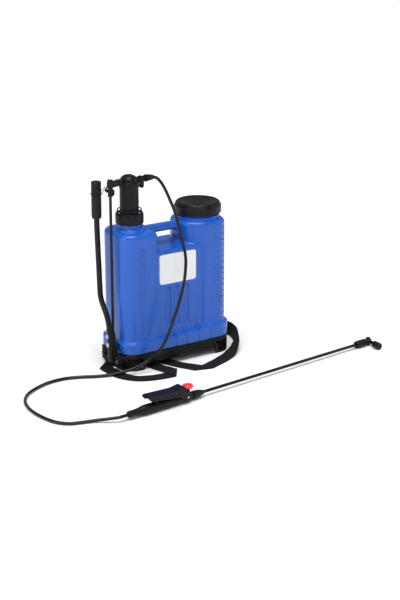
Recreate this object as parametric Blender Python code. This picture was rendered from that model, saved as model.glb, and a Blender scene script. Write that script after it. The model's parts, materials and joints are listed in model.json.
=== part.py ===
"""Backpack sprayer, 20 litres, lever operated.  Metres, +Z up, +X along the tank's width.

The front of the tank (label side) faces -Y and the wearer's back is at +Y.  The origin is on
the floor under the middle of the base.  The spray wand lies on the floor in front of the tank.
"""

import math

import bmesh
import bpy
from mathutils import Matrix, Vector

GAP = 0.0003                # air left between touching pieces

# Base and tank
BASE_WIDTH = 0.392
BASE_DEPTH = 0.176
BASE_TOP = 0.0515
BASE_WALL = 0.005
ARCH_HEIGHT = 0.019
ARCH_HALF = 0.130
TANK_BOTTOM = 0.0520
TANK_WIDTH = 0.376
TANK_DEPTH = 0.160
SKIRT_WIDTH = 0.393
SKIRT_DEPTH = 0.178
CORNER = 0.046
WALL = 0.003
RECESS = 0.008
RECESS_LEFT = (-0.080, -0.068)
RECESS_RIGHT = (0.084, 0.098)
SADDLE_TOP = 0.364
TOWER_TOP = 0.437
NECK_TOP = 0.4689
HANDLE_Z = 0.4165

# Pump, on a vertical axis through the left tower
PUMP_X = -0.126
CHAMBER_R = 0.029
CHAMBER_TOP = 0.566
CHAMBER_BOTTOM = 0.345
BARREL_R = 0.0335
STEP_Z = 0.285
BARREL_BOTTOM = 0.085
PORT_Z = 0.577

# Filler, on a vertical axis through the right tower
FILLER_X = 0.120
CAP_R = 0.0735
FILLER_NECK_R = 0.0635

# Lever linkage on the left side
SHAFT_Y = -0.064
SHAFT_Z = 0.039
SHAFT_R = 0.006
CRANK_R = 0.045
CRANK_ANGLE = math.radians(35)
PIN_Y = SHAFT_Y + CRANK_R * math.cos(CRANK_ANGLE)
PIN_Z = SHAFT_Z + CRANK_R * math.sin(CRANK_ANGLE)
PIN_R = 0.004
ROD_X = -0.2042
ROD_Y = (PIN_Y + SHAFT_Y + CRANK_R) / 2
ROD_R = 0.0035
ROD_TOP = 0.588
ARM_X = (-0.2135, -0.2095)
LEVER_X = -0.2235
LEVER_R = 0.0085
LEVER_ROUTE = [
    (-0.0434, 0.034), (-0.0395, 0.075), (-0.0360, 0.115), (-0.0322, 0.148),
    (-0.0180, 0.178), (0.0050, 0.208), (0.0150, 0.228), (0.0180, 0.260),
    (0.0210, 0.320), (0.0266, 0.420), (0.0280, 0.466), (0.0276, 0.513), (0.0272, 0.560),
]
GRIP_Z = (0.469, 0.582)
GRIP_R = 0.0155

# Spray wand, measured along its own axis from the tail nut
WAND_TAIL = Vector((-0.3756, -0.3956, 0.0162))
WAND_TURN = math.radians(6.19)
WAND_DIP = math.radians(0.21)
BODY_R = 0.0148
PIVOT = (0.2055, 0.006)
BOSS_R = 0.0155
LANCE_R = 0.0042
LANCE = (0.246, 0.918)
KNUCKLE = 0.9617

# Hose and webbing
HOSE_R = 0.0048
HOSE_STEP = 0.022
HOSE_ROUTE = [
    (-0.0555, 0.000, 0.5770), (-0.0400, 0.000, 0.5768), (-0.0290, -0.005, 0.5715),
    (-0.0210, -0.016, 0.5580), (-0.0160, -0.030, 0.5390), (-0.0120, -0.047, 0.5130),
    (-0.0090, -0.075, 0.4720), (-0.0060, -0.105, 0.3980), (-0.0030, -0.119, 0.3550),
    (-0.0070, -0.127, 0.3200), (-0.0170, -0.133, 0.2730), (-0.0340, -0.137, 0.2220),
    (-0.0530, -0.137, 0.1740), (-0.0730, -0.134, 0.1220), (-0.0920, -0.128, 0.0820),
    (-0.1220, -0.120, 0.0510), (-0.1580, -0.110, 0.0290), (-0.1870, -0.099, 0.0170),
    (-0.2150, -0.088, 0.0100), (-0.2480, -0.079, 0.0065), (-0.2870, -0.065, 0.0055),
    (-0.3330, -0.042, 0.0055), (-0.3800, -0.028, 0.0055), (-0.4350, -0.031, 0.0055),
    (-0.4900, -0.053, 0.0055), (-0.5310, -0.082, 0.0055), (-0.5590, -0.122, 0.0055),
    (-0.5730, -0.168, 0.0055), (-0.5760, -0.214, 0.0055), (-0.5710, -0.262, 0.0055),
    (-0.5580, -0.305, 0.0055), (-0.5330, -0.335, 0.0055), (-0.4980, -0.348, 0.0055),
    (-0.4620, -0.360, 0.0070), (-0.4330, -0.380, 0.0115), (-0.4070, -0.396, 0.0156),
    (-0.3900, -0.3972, 0.0163), (-0.3764, -0.3957, 0.0162),
]
WEB_HALF = 0.023
WEB_THICK = 0.0016
STUD_Y = 0.034
STUD_Z = 0.035
# Webbing stations: x, y, z, then the compass angle and the upward tilt of the line across it.
LEFT_OUT = [
    (-0.1990, 0.054, 0.0330, 180, -90), (-0.1990, 0.034, 0.0330, 180, -90),
    (-0.1994, 0.023, 0.0290, 180, -88), (-0.2040, 0.014, 0.0240, 180, -74),
    (-0.2166, 0.003, 0.0150, 180, -34), (-0.2214, -0.010, 0.0016, 180, 0),
    (-0.2215, -0.040, 0.0013, 182, 0), (-0.2205, -0.075, 0.0013, 190, 0),
    (-0.2090, -0.112, 0.0013, 215, 0), (-0.1850, -0.142, 0.0013, 243, 0),
    (-0.1500, -0.158, 0.0013, 262, 0), (-0.1150, -0.165, 0.0013, 270, 0),
    (-0.0868, -0.167, 0.0013, 274, 0),
]
LEFT_FOLD = (-0.0660, -0.1655, 235, 1.29)
LEFT_BACK = [
    (-0.0718, -0.1453, 0.0045, 196, 0), (-0.0790, -0.118, 0.0030, 194, 0),
    (-0.0870, -0.088, 0.0013, 188, 0), (-0.0920, -0.045, 0.0013, 183, 0),
    (-0.0940, 0.000, 0.0013, 181, 0), (-0.0940, 0.050, 0.0013, 180, 0),
    (-0.0930, 0.088, 0.0016, 180, 0), (-0.0920, 0.104, 0.0060, 180, 0),
    (-0.0910, 0.1075, 0.0200, 180, 0), (-0.0880, 0.101, 0.0600, 180, 0),
    (-0.0780, 0.0955, 0.1200, 180, 0), (-0.0620, 0.0925, 0.2200, 180, 0),
    (-0.0450, 0.0900, 0.3200, 180, 0), (-0.0400, 0.0895, 0.3560, 180, 0),
]
RIGHT_OUT = [
    (0.1990, 0.014, 0.0330, 0, 90), (0.1990, 0.034, 0.0330, 0, 90),
    (0.1992, 0.047, 0.0320, 0, 90), (0.2060, 0.060, 0.0300, 90, 89),
    (0.2190, 0.067, 0.0285, 90, 88), (0.2350, 0.066, 0.0270, 60, 87),
    (0.2490, 0.056, 0.0255, 30, 86), (0.2570, 0.040, 0.0247, 10, 84),
    (0.2590, 0.018, 0.0245, -5, 82), (0.2540, -0.006, 0.0242, -15, 79),
    (0.2430, -0.032, 0.0232, -25, 73),
    (0.2240, -0.058, 0.0205, -36, 60), (0.1960, -0.091, 0.0140, -46, 35),
    (0.1600, -0.121, 0.0050, -54, 10), (0.1250, -0.140, 0.0013, -58, 0),
    (0.0850, -0.157, 0.0013, -59, 0), (0.0399, -0.1740, 0.0013, -58, 0),
]
RIGHT_FOLD = (0.0200, -0.1865, -15, 1.37)
RIGHT_BACK = [
    (0.0090, -0.1658, 0.0045, 28, 0), (-0.0060, -0.138, 0.0030, 27, 0),
    (-0.0190, -0.112, 0.0013, 22, 0), (-0.0310, -0.085, 0.0013, 14, 0),
    (-0.0410, -0.045, 0.0013, 6, 0), (-0.0430, 0.000, 0.0013, 1, 0),
    (-0.0420, 0.050, 0.0013, -2, 0), (-0.0380, 0.088, 0.0016, -3, 0),
    (-0.0360, 0.104, 0.0060, -3, 0), (-0.0340, 0.1075, 0.0200, -2, 0),
    (-0.0260, 0.101, 0.0600, 0, 0), (-0.0020, 0.0955, 0.1200, 0, 0),
    (0.0300, 0.0925, 0.2200, 0, 0), (0.0560, 0.0900, 0.3200, 0, 0),
    (0.0600, 0.0895, 0.3560, 0, 0),
]


# ---------------------------------------------------------------- materials

def material(name, colour, roughness, metallic=0.0):
    made = bpy.data.materials.new(name)
    made.use_nodes = True
    shader = made.node_tree.nodes["Principled BSDF"]
    shader.inputs["Base Color"].default_value = (*colour, 1.0)
    shader.inputs["Roughness"].default_value = roughness
    shader.inputs["Metallic"].default_value = metallic
    return made


def make_materials():
    return {
        "blue": material("blue_tank", (0.018, 0.105, 0.560), 0.35),
        "black": material("black_plastic", (0.012, 0.012, 0.014), 0.45),
        "grip": material("grip_plastic", (0.020, 0.020, 0.024), 0.60),
        "paint": material("painted_steel", (0.010, 0.010, 0.011), 0.35),
        "steel": material("bright_steel", (0.550, 0.550, 0.560), 0.30, 1.0),
        "rubber": material("black_rubber", (0.015, 0.015, 0.015), 0.75),
        "hose": material("hose_rubber", (0.014, 0.014, 0.016), 0.30),
        "web": material("webbing", (0.010, 0.010, 0.013), 0.90),
        "red": material("red_plastic", (0.800, 0.020, 0.035), 0.35),
        "white": material("label_film", (0.850, 0.850, 0.850), 0.40),
        "clear": material("natural_plastic", (0.700, 0.700, 0.660), 0.50),
    }


# ---------------------------------------------------------------- building blocks

def aim(point, direction):
    """A frame at point whose Z axis runs along direction."""
    turn = Vector((0, 0, 1)).rotation_difference(Vector(direction))
    return Matrix.Translation(Vector(point)) @ turn.to_matrix().to_4x4()


def pivot(name, frame):
    empty = bpy.data.objects.new(name, None)
    empty.matrix_world = frame
    bpy.context.collection.objects.link(empty)
    return empty


def place(made, frame, parent):
    bpy.context.collection.objects.link(made)
    made.matrix_world = frame
    if parent:
        made.parent = parent
        made.matrix_parent_inverse = parent.matrix_world.inverted()
    return made


def solid(name, mesh_data, paint, frame=Matrix(), parent=None):
    """Turn a bmesh into a named object."""
    bmesh.ops.recalc_face_normals(mesh_data, faces=mesh_data.faces[:])
    mesh = bpy.data.meshes.new(name)
    mesh_data.to_mesh(mesh)
    mesh_data.free()
    mesh.materials.append(paint)
    mesh.shade_smooth()
    mesh.set_sharp_from_angle(angle=math.radians(35))
    return place(bpy.data.objects.new(name, mesh), frame, parent)


def hide(helper):
    helper.hide_render = True
    helper.display_type = "WIRE"


def combine(target, operation, helpers):
    for helper in helpers:
        hide(helper)
        step = target.modifiers.new(operation.title(), "BOOLEAN")
        step.operation = operation
        step.object = helper
    return target


def join(target, *helpers):
    return combine(target, "UNION", helpers)


def cut(target, *helpers):
    return combine(target, "DIFFERENCE", helpers)


def loft(rings):
    """Closed skin over stacked rings that have the same number of points."""
    made = bmesh.new()
    rows = [[made.verts.new(point) for point in ring] for ring in rings]
    count = len(rows[0])
    for low, high in zip(rows, rows[1:]):
        for i in range(count):
            j = (i + 1) % count
            made.faces.new((low[i], low[j], high[j], high[i]))
    made.faces.new(rows[0][::-1])
    made.faces.new(rows[-1])
    return made


def prism(outline, low, high):
    """Straight solid over a flat outline, from height low to high."""
    return loft([[(x, y, z) for x, y in outline] for z in (low, high)])


def block(low, high):
    (x0, y0, z0), (x1, y1, z1) = low, high
    return prism([(x0, y0), (x1, y0), (x1, y1), (x0, y1)], z0, z1)


def turned(profile, segments=24):
    """Solid of revolution about Z.  A profile that stays off the axis closes on itself."""
    made = bmesh.new()
    columns = []
    for i in range(segments):
        angle = 2 * math.pi * i / segments
        columns.append((math.cos(angle), math.sin(angle)))
    rows = []
    for radius, height in profile:
        if radius < 1e-7:
            rows.append([made.verts.new((0, 0, height))] * segments)
        else:
            rows.append([made.verts.new((radius * c, radius * s, height)) for c, s in columns])
    pairs = list(zip(rows, rows[1:]))
    if profile[0][0] > 1e-7:
        pairs.append((rows[-1], rows[0]))
    for low, high in pairs:
        for i in range(segments):
            j = (i + 1) % segments
            corners = []
            for corner in (low[i], low[j], high[j], high[i]):
                if corner not in corners:
                    corners.append(corner)
            if len(corners) > 2:
                made.faces.new(corners)
    return made


def rod(radius, low, high):
    return [(0, low), (radius, low), (radius, high), (0, high)]


def sleeve(inner, outer, low, high):
    return [(inner, low), (outer, low), (outer, high), (inner, high)]


def rounded(width, depth, radius, centre=(0, 0), steps=3):
    """Rounded rectangle, counter-clockwise from the left end of the front edge."""
    points = []
    corners = ((1, -1, -90), (1, 1, 0), (-1, 1, 90), (-1, -1, 180))
    for side_x, side_y, start in corners:
        for i in range(steps + 1):
            angle = math.radians(start + 90 * i / steps)
            x = centre[0] + side_x * (width / 2 - radius) + radius * math.cos(angle)
            y = centre[1] + side_y * (depth / 2 - radius) + radius * math.sin(angle)
            points.append((x, y))
    return points


def tube(name, points, radius, paint, parent=None, sides=2, closed=False):
    """Round bar or tube along a route."""
    curve = bpy.data.curves.new(name, "CURVE")
    curve.dimensions = "3D"
    curve.bevel_depth = radius
    curve.bevel_resolution = sides
    curve.use_fill_caps = True
    line = curve.splines.new("POLY")
    line.points.add(len(points) - 1)
    for knot, point in zip(line.points, points):
        knot.co = (*point, 1.0)
    line.use_cyclic_u = closed
    line.use_smooth = True
    curve.materials.append(paint)
    return place(bpy.data.objects.new(name, curve), Matrix(), parent)


def bar_mesh(points, radius, segments):
    """Solid round bar along a route that lies in the plane X = constant."""
    rings = []
    for i, point in enumerate(points):
        ahead = points[min(i + 1, len(points) - 1)] - points[max(i - 1, 0)]
        side = Vector((1, 0, 0))
        normal = ahead.normalized().cross(side)
        ring = []
        for k in range(segments):
            angle = 2 * math.pi * k / segments
            ring.append(point + radius * (math.cos(angle) * side + math.sin(angle) * normal))
        rings.append(ring)
    return loft(rings)


def between(points, index, share):
    """Catmull-Rom value between points[index] and the next one."""
    last = len(points) - 1
    p0, p1 = points[max(index - 1, 0)], points[index]
    p2, p3 = points[min(index + 1, last)], points[min(index + 2, last)]
    values = []
    for a, b, c, d in zip(p0, p1, p2, p3):
        slope = (c - a) * share
        bend = (2 * a - 5 * b + 4 * c - d) * share ** 2
        twist = (3 * b - a - 3 * c + d) * share ** 3
        values.append((2 * b + slope + bend + twist) / 2)
    return tuple(values)


def smooth_route(points, step):
    """Points on a smooth curve through the route, about one step apart."""
    fine = []
    for index in range(len(points) - 1):
        fine += [Vector(between(points, index, i / 20)) for i in range(20)]
    fine.append(Vector(points[-1]))
    total = sum((b - a).length for a, b in zip(fine, fine[1:]))
    spacing = total / round(total / step)
    route = [fine[0]]
    walked = 0.0
    for a, b in zip(fine, fine[1:]):
        walked += (b - a).length
        if walked >= spacing - 1e-6:
            route.append(b)
            walked -= spacing
    if (route[-1] - fine[-1]).length < spacing / 2:
        route.pop()
    route.append(fine[-1])
    return route


# ---------------------------------------------------------------- tank and base

def tank_ring(width, depth, radius, z, recess, right):
    """Tank outline at height z, with the label panel set back between two slopes."""
    outline = rounded(width, depth, radius)
    front = -depth / 2
    panel = [(RECESS_LEFT[0], front), (RECESS_LEFT[1], front + recess)]
    panel += [(right[0], front + recess), (right[1], front)]
    return [(x, y, z) for x, y in panel + outline]


def tank_body(inset):
    """Lower body of the tank; a positive inset gives the cavity inside it."""
    arch = (0.062, 0.076)
    sections = [
        (TANK_BOTTOM, SKIRT_WIDTH - 0.016, SKIRT_DEPTH - 0.016, 0.0, RECESS_RIGHT),
        (TANK_BOTTOM + 0.0035, SKIRT_WIDTH - 0.004, SKIRT_DEPTH - 0.004, 0.0, RECESS_RIGHT),
        (TANK_BOTTOM + 0.0080, SKIRT_WIDTH, SKIRT_DEPTH, 0.0, RECESS_RIGHT),
        (0.0960, SKIRT_WIDTH - 0.001, SKIRT_DEPTH - 0.001, 0.0, RECESS_RIGHT),
        (0.1040, TANK_WIDTH + 0.002, TANK_DEPTH + 0.002, 0.0, RECESS_RIGHT),
        (0.1140, TANK_WIDTH, TANK_DEPTH, RECESS, RECESS_RIGHT),
        (0.3420, TANK_WIDTH, TANK_DEPTH, RECESS, RECESS_RIGHT),
        (0.3560, TANK_WIDTH, TANK_DEPTH, RECESS, arch),
        (SADDLE_TOP, TANK_WIDTH - 0.012, TANK_DEPTH - 0.018, 0.0, arch),
    ]
    rings = []
    for z, width, depth, recess, right in sections:
        level = min(max(z, TANK_BOTTOM + inset), SADDLE_TOP - inset)
        corner = CORNER - inset
        rings.append(tank_ring(width - 2 * inset, depth - 2 * inset, corner, level, recess, right))
    if inset:
        rings = rings[1:]
        rings[0] = [(x, y, TANK_BOTTOM + inset) for x, y, _ in rings[0]]
        rings[1] = [(x, y, TANK_BOTTOM + 0.0085) for x, y, _ in rings[1]]
    return loft(rings)


def tower(left, right, inset):
    """One of the two towers that carry the necks."""
    middle = ((left + right) / 2, 0)
    width = right - left
    sections = [
        (0.3360, width - 0.020, 0.136, 0.036), (0.3520, width - 0.020, 0.136, 0.036),
        (0.3575, width - 0.001, 0.159, CORNER - 0.001), (0.4250, width - 0.001, 0.159, CORNER - 0.001),
        (0.4330, width - 0.008, 0.150, 0.041), (TOWER_TOP, width - 0.022, 0.136, 0.034),
    ]
    rings = []
    for z, across, deep, corner in sections:
        outline = rounded(across - 2 * inset, deep - 2 * inset, corner - inset, middle)
        rings.append([(x, y, min(z, TOWER_TOP - inset)) for x, y in outline])
    return loft(rings)


def make_tank(paint):
    cavity = solid("cavity", tank_body(WALL), paint["blue"])
    tank = solid("tank", tank_body(0.0), paint["blue"])
    for side, left, right in (("left", -0.188, -0.070), ("right", 0.0375, 0.1875)):
        join(tank, solid("tower_" + side, tower(left, right, 0.0), paint["blue"]))
        join(cavity, solid("hollow_" + side, tower(left, right, WALL), paint["blue"]))
    handle = prism(rounded(0.034, 0.023, 0.010), -0.064, 0.064)
    frame = Matrix.Translation((-0.016, 0, HANDLE_Z)) @ Matrix.Rotation(math.pi / 2, 4, "Z")
    frame = frame @ Matrix.Rotation(math.pi / 2, 4, "X")
    join(tank, solid("handle_bar", handle, paint["blue"], frame))
    for x, outer, inner in ((PUMP_X, 0.0385, 0.0355), (FILLER_X, FILLER_NECK_R, 0.0600)):
        neck = turned(rod(outer, 0.4280, NECK_TOP), 24)
        bore = turned(rod(inner, 0.4200, NECK_TOP + 0.01), 24)
        join(tank, solid("neck", neck, paint["blue"], Matrix.Translation((x, 0, 0))))
        join(cavity, solid("neck_bore", bore, paint["blue"], Matrix.Translation((x, 0, 0))))
    cut(tank, cavity)


def make_label(paint):
    front = -TANK_DEPTH / 2 + RECESS
    outline = rounded(0.132, 0.094, 0.009, (0.0, 0.303), 3)
    sheet = loft([[(x, y, z) for x, z in outline] for y in (front - GAP - 0.0004, front - GAP)])
    solid("front_label", sheet, paint["white"])


def make_base(paint):
    def level(z, width, depth, corner):
        return [(x, y, z) for x, y in rounded(width, depth, corner)]

    outer = loft([
        level(0.0, BASE_WIDTH - 0.008, BASE_DEPTH - 0.008, 0.046),
        level(0.004, BASE_WIDTH, BASE_DEPTH, 0.050),
        level(0.045, BASE_WIDTH, BASE_DEPTH, 0.050),
        level(BASE_TOP, BASE_WIDTH - 0.010, BASE_DEPTH - 0.010, 0.045),
    ])
    base = solid("base", outer, paint["black"])
    inside = 2 * BASE_WALL
    hollow = loft([
        level(-0.010, BASE_WIDTH - inside, BASE_DEPTH - inside, 0.045),
        level(BASE_TOP - 0.004, BASE_WIDTH - inside, BASE_DEPTH - inside, 0.045),
    ])
    cut(base, solid("base_hollow", hollow, paint["black"]))
    slope = [(-ARCH_HALF, -0.01), (ARCH_HALF, -0.01), (ARCH_HALF, 0.004)]
    slope += [(ARCH_HALF - 0.012, ARCH_HEIGHT), (0.012 - ARCH_HALF, ARCH_HEIGHT), (-ARCH_HALF, 0.004)]
    arch = loft([[(x, y, z) for x, z in slope] for y in (-0.12, 0.12)])
    cut(base, solid("base_arch", arch, paint["black"]))
    top = BASE_TOP - 0.002
    join(base, solid("middle_foot", turned(rod(0.012, 0.0, top), 20), paint["black"]))
    for x in (-0.168, 0.168):
        for y in (-0.066, 0.066):
            foot = turned(rod(0.011, 0.0008, top), 12)
            join(base, solid("corner_foot", foot, paint["black"], Matrix.Translation((x, y, 0))))
    tower_frame = aim((0, SHAFT_Y, SHAFT_Z), (1, 0, 0))
    bearing = turned(rod(0.0120, -0.1975, -0.1500), 20)
    bore = turned(rod(0.0088, -0.21, -0.13), 20)
    join(base, solid("bearing_tube", bearing, paint["black"], tower_frame))
    pocket = turned(rod(0.0112, -0.1500, -0.1420), 16)
    cut(base, solid("bearing_bore", bore, paint["black"], tower_frame))
    cut(base, solid("bearing_pocket", pocket, paint["black"], tower_frame))
    for side in (-1, 1):
        hole = aim((side * 0.19, STUD_Y, STUD_Z), (1, 0, 0))
        drill = turned(rod(0.0043, -0.02, 0.02), 12)
        cut(base, solid("stud_hole", drill, paint["black"], hole))


# ---------------------------------------------------------------- pump

def make_barrel(paint):
    frame = Matrix.Translation((PUMP_X, 0, 0))
    inner = BARREL_R - 0.002
    profile = [
        (inner, 0.4757), (0.0404, 0.4757), (0.0404, 0.4720), (BARREL_R, 0.4720),
        (BARREL_R, STEP_Z), (0.0210, STEP_Z - 0.004), (0.0210, BARREL_BOTTOM),
        (0.0185, BARREL_BOTTOM), (0.0185, STEP_Z), (inner, STEP_Z + 0.0025),
    ]
    solid("pump_barrel", turned(profile), paint["clear"], frame)
    solid("barrel_gasket", turned(sleeve(0.0345, 0.0400, NECK_TOP + GAP, 0.4717)), paint["rubber"], frame)
    guide = sleeve(CHAMBER_R + GAP, inner - GAP, 0.4640, 0.4757)
    solid("guide_ring", turned(guide), paint["clear"], frame)
    nut = [
        (0.0400, 0.4457), (0.0430, 0.4475), (0.0433, 0.4740), (0.0405, 0.4800), (0.0345, 0.4800),
        (0.0345, 0.4760), (0.0410, 0.4760), (0.0410, 0.4680), (0.0390, 0.4650), (0.0390, 0.4457),
    ]
    collar = solid("collar_nut", turned(nut, 28), paint["black"], frame)
    crown = solid("crown_ring", turned(sleeve(0.0345, 0.0380, 0.4868, 0.4900), 24), paint["black"], frame)
    for i in range(6):
        angle = 2 * math.pi * (i + 0.5) / 6
        post = block((0.0348, -0.0022, 0.4790), (0.0377, 0.0022, 0.4880))
        turn = frame @ Matrix.Rotation(angle, 4, "Z")
        join(crown, solid("crown_post", post, paint["black"], turn))
    join(collar, crown)
    seat = [
        (0.0045, 0.0800), (0.0160, 0.0800), (0.0160, 0.0700), (0.0185, 0.0700), (0.0185, 0.0847),
        (0.0180, 0.0847), (0.0180, 0.1040), (0.0120, 0.1040), (0.0120, 0.0860), (0.0045, 0.0835),
    ]
    solid("foot_valve", turned(seat, 20), paint["black"], frame)
    ball = bmesh.new()
    bmesh.ops.create_icosphere(ball, subdivisions=2, radius=0.0070)
    solid("valve_ball", ball, paint["steel"], Matrix.Translation((PUMP_X, 0, 0.0915)))


def make_chamber(paint, slide):
    frame = Matrix.Translation((PUMP_X, 0, 0))
    wall = 0.0025
    shell = [
        (0.0095, CHAMBER_BOTTOM), (CHAMBER_R, CHAMBER_BOTTOM), (CHAMBER_R, CHAMBER_TOP),
        (CHAMBER_R - wall, CHAMBER_TOP), (CHAMBER_R - wall, CHAMBER_BOTTOM + wall),
        (0.0095, CHAMBER_BOTTOM + wall),
    ]
    solid("air_chamber", turned(shell, 28), paint["black"], frame, slide)
    stem = [
        (0.0040, 0.1880), (0.0075, 0.1880), (0.0075, CHAMBER_BOTTOM - 0.003),
        (0.0130, CHAMBER_BOTTOM - 0.003), (0.0130, CHAMBER_BOTTOM - GAP),
        (0.0092, CHAMBER_BOTTOM - GAP), (0.0092, CHAMBER_BOTTOM + 0.012),
        (0.0040, CHAMBER_BOTTOM + 0.012),
    ]
    solid("piston_rod", turned(stem, 16), paint["clear"], frame, slide)
    cup = [
        (0.0078, 0.1950), (0.0165, 0.1950), (0.0182, 0.2080), (0.0165, 0.2080), (0.0150, 0.1985),
        (0.0078, 0.1985),
    ]
    solid("piston_cup", turned(cup, 20), paint["rubber"], frame, slide)
    ring = turned(sleeve(0.0078, 0.0130, 0.1900, 0.1947), 12)
    solid("piston_nut", ring, paint["clear"], frame, slide)
    seal = turned(sleeve(CHAMBER_R - 0.002, CHAMBER_R, CHAMBER_TOP + GAP, CHAMBER_TOP + 0.0018), 24)
    solid("head_gasket", seal, paint["rubber"], frame, slide)


def make_head(paint, slide):
    """Domed head with its outlet, and the cross arm that the rod lifts it by."""
    frame = Matrix.Translation((PUMP_X, 0, 0))
    low = CHAMBER_TOP + 0.0021
    dome = [(0, low), (0.0300, low), (0.0305, low + 0.006), (0.0275, low + 0.0075)]
    for i in range(1, 7):
        angle = math.radians(15 * i)
        dome.append((0.0275 * math.cos(angle), low + 0.0075 + 0.0205 * math.sin(angle)))
    dome[-1] = (0, low + 0.0280)
    head = solid("chamber_head", turned(dome, 28), paint["black"], frame, slide)
    spigot = turned(rod(0.0085, 0.010, 0.0335), 16)
    join(head, solid("head_port", spigot, paint["black"], aim((PUMP_X, 0, PORT_Z), (1, 0, 0)), slide))
    reach = Vector((ROD_X - PUMP_X, ROD_Y, 0))
    turn = math.atan2(reach.y, reach.x)
    arm_frame = frame @ Matrix.Rotation(turn, 4, "Z")
    flat = turned(sleeve(0.0308, 0.0345, low + 0.0002, low + 0.0058), 28)
    arm = solid("cross_arm", flat, paint["black"], frame, slide)
    tip = reach.length
    beam = block((0.0325, -0.0070, 0.5702), (tip + 0.010, 0.0070, 0.5880))
    limb = turned([(0, 0.5700), (0.0082, 0.5700), (0.0090, 0.5900), (0.0070, 0.5945), (0, 0.5945)], 14)
    join(arm, solid("arm_beam", beam, paint["black"], arm_frame, slide))
    join(arm, solid("arm_limb", limb, paint["black"], Matrix.Translation((ROD_X, ROD_Y, 0)), slide))
    socket = turned(rod(ROD_R + GAP, 0.560, ROD_TOP + GAP), 12)
    cut(arm, solid("arm_socket", socket, paint["black"], Matrix.Translation((ROD_X, ROD_Y, 0)), slide))
    clear = turned(rod(0.0308, low - 0.01, 0.60), 28)
    cut(arm, solid("arm_clear", clear, paint["black"], frame, slide))
    opening = block((0.0150, -0.0130, 0.5600), (0.0400, 0.0130, 0.5900))
    cut(arm, solid("arm_opening", opening, paint["black"], frame, slide))
    screw = [(0, 0.5883), (0.0035, 0.5883), (0.0035, 0.5905), (0.0015, 0.5918), (0, 0.5918)]
    place_screw = arm_frame @ Matrix.Translation((0.048, 0, 0))
    solid("arm_screw", turned(screw, 12), paint["steel"], place_screw, slide)


def make_outlet(paint, slide):
    start = PUMP_X + 0.0338
    elbow = turned([(0, 0), (0.0095, 0), (0.0105, 0.002), (0.0105, 0.010), (0, 0.010)], 20)
    block_frame = aim((start, 0, PORT_Z), (1, 0, 0))
    body = solid("outlet_elbow", elbow, paint["black"], block_frame, slide)
    lobe = [(0, -0.028), (0.0060, -0.028), (0.0078, -0.025), (0.0078, -0.002), (0.0040, 0.0055), (0, 0.0055)]
    lobe_frame = Matrix.Translation((start + 0.0100, 0, PORT_Z))
    join(body, solid("elbow_lobe", turned(lobe, 16), paint["black"], lobe_frame, slide))
    barb = turned(rod(0.0038, 0.005, 0.034), 12)
    join(body, solid("elbow_barb", barb, paint["black"], block_frame, slide))
    nut = [
        (0.0042, 0.0205), (0.0105, 0.0205), (0.0115, 0.0220), (0.0108, 0.0300), (0.0098, 0.0330),
        (0.0042, 0.0330),
    ]
    solid("hose_nut", turned(nut, 20), paint["black"], block_frame, slide)
    relief = [
        (0.0042, 0.0333), (0.0098, 0.0333), (0.0095, 0.0420), (0.0068, 0.0510), (0.0054, 0.0510),
        (0.0054, 0.0360), (0.0042, 0.0345),
    ]
    solid("hose_relief", turned(relief, 20), paint["rubber"], block_frame, slide)


# ---------------------------------------------------------------- filler

def make_strainer(paint, lift):
    frame = Matrix.Translation((FILLER_X, 0, 0))
    depth = 0.3850
    wall = [
        (0.0620, 0.4692), (0.0620, 0.4709), (0.0500, 0.4709), (0.0450, depth + 0.0025), (0, depth + 0.0025),
        (0, depth), (0.0475, depth), (0.0525, 0.4692),
    ]
    basket = solid("strainer_basket", turned(wall, 24), paint["clear"], frame, lift)
    for i in range(6):
        window = block((0.030, -0.016, depth + 0.012), (0.060, 0.016, 0.4560))
        turn = frame @ Matrix.Rotation(math.radians(60 * i), 4, "Z")
        cut(basket, solid("basket_window", window, paint["clear"], turn, lift))


def make_cap(paint, lift, turn):
    frame = Matrix.Translation((FILLER_X, 0, 0))
    gasket = turned(sleeve(0.0530, 0.0635, 0.4712, 0.4738), 28)
    solid("cap_gasket", gasket, paint["rubber"], frame, lift)
    shell = [
        (0.0665, 0.4465), (0.0725, 0.4465), (CAP_R, 0.4480), (CAP_R, 0.4690), (0.0700, 0.4760),
        (0.0640, 0.4810), (0.0600, 0.4812), (0.0560, 0.4785), (0.0240, 0.4715), (0.0095, 0.4690),
        (0.0060, 0.4690), (0.0060, 0.4662), (0.0480, 0.4700), (0.0515, 0.4741), (0.0665, 0.4741),
    ]
    solid("filler_cap", turned(shell, 28), paint["black"], frame, turn)
    valve = [
        (0, 0.4600), (0.0080, 0.4600), (0.0080, 0.4655), (0.0052, 0.4660), (0.0052, 0.4700),
        (0.0070, 0.4703), (0.0060, 0.4725), (0.0020, 0.4725), (0.0020, 0.4690), (0, 0.4690),
    ]
    solid("vent_valve", turned(valve, 14), paint["rubber"], frame, turn)


# ---------------------------------------------------------------- lever linkage

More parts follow.
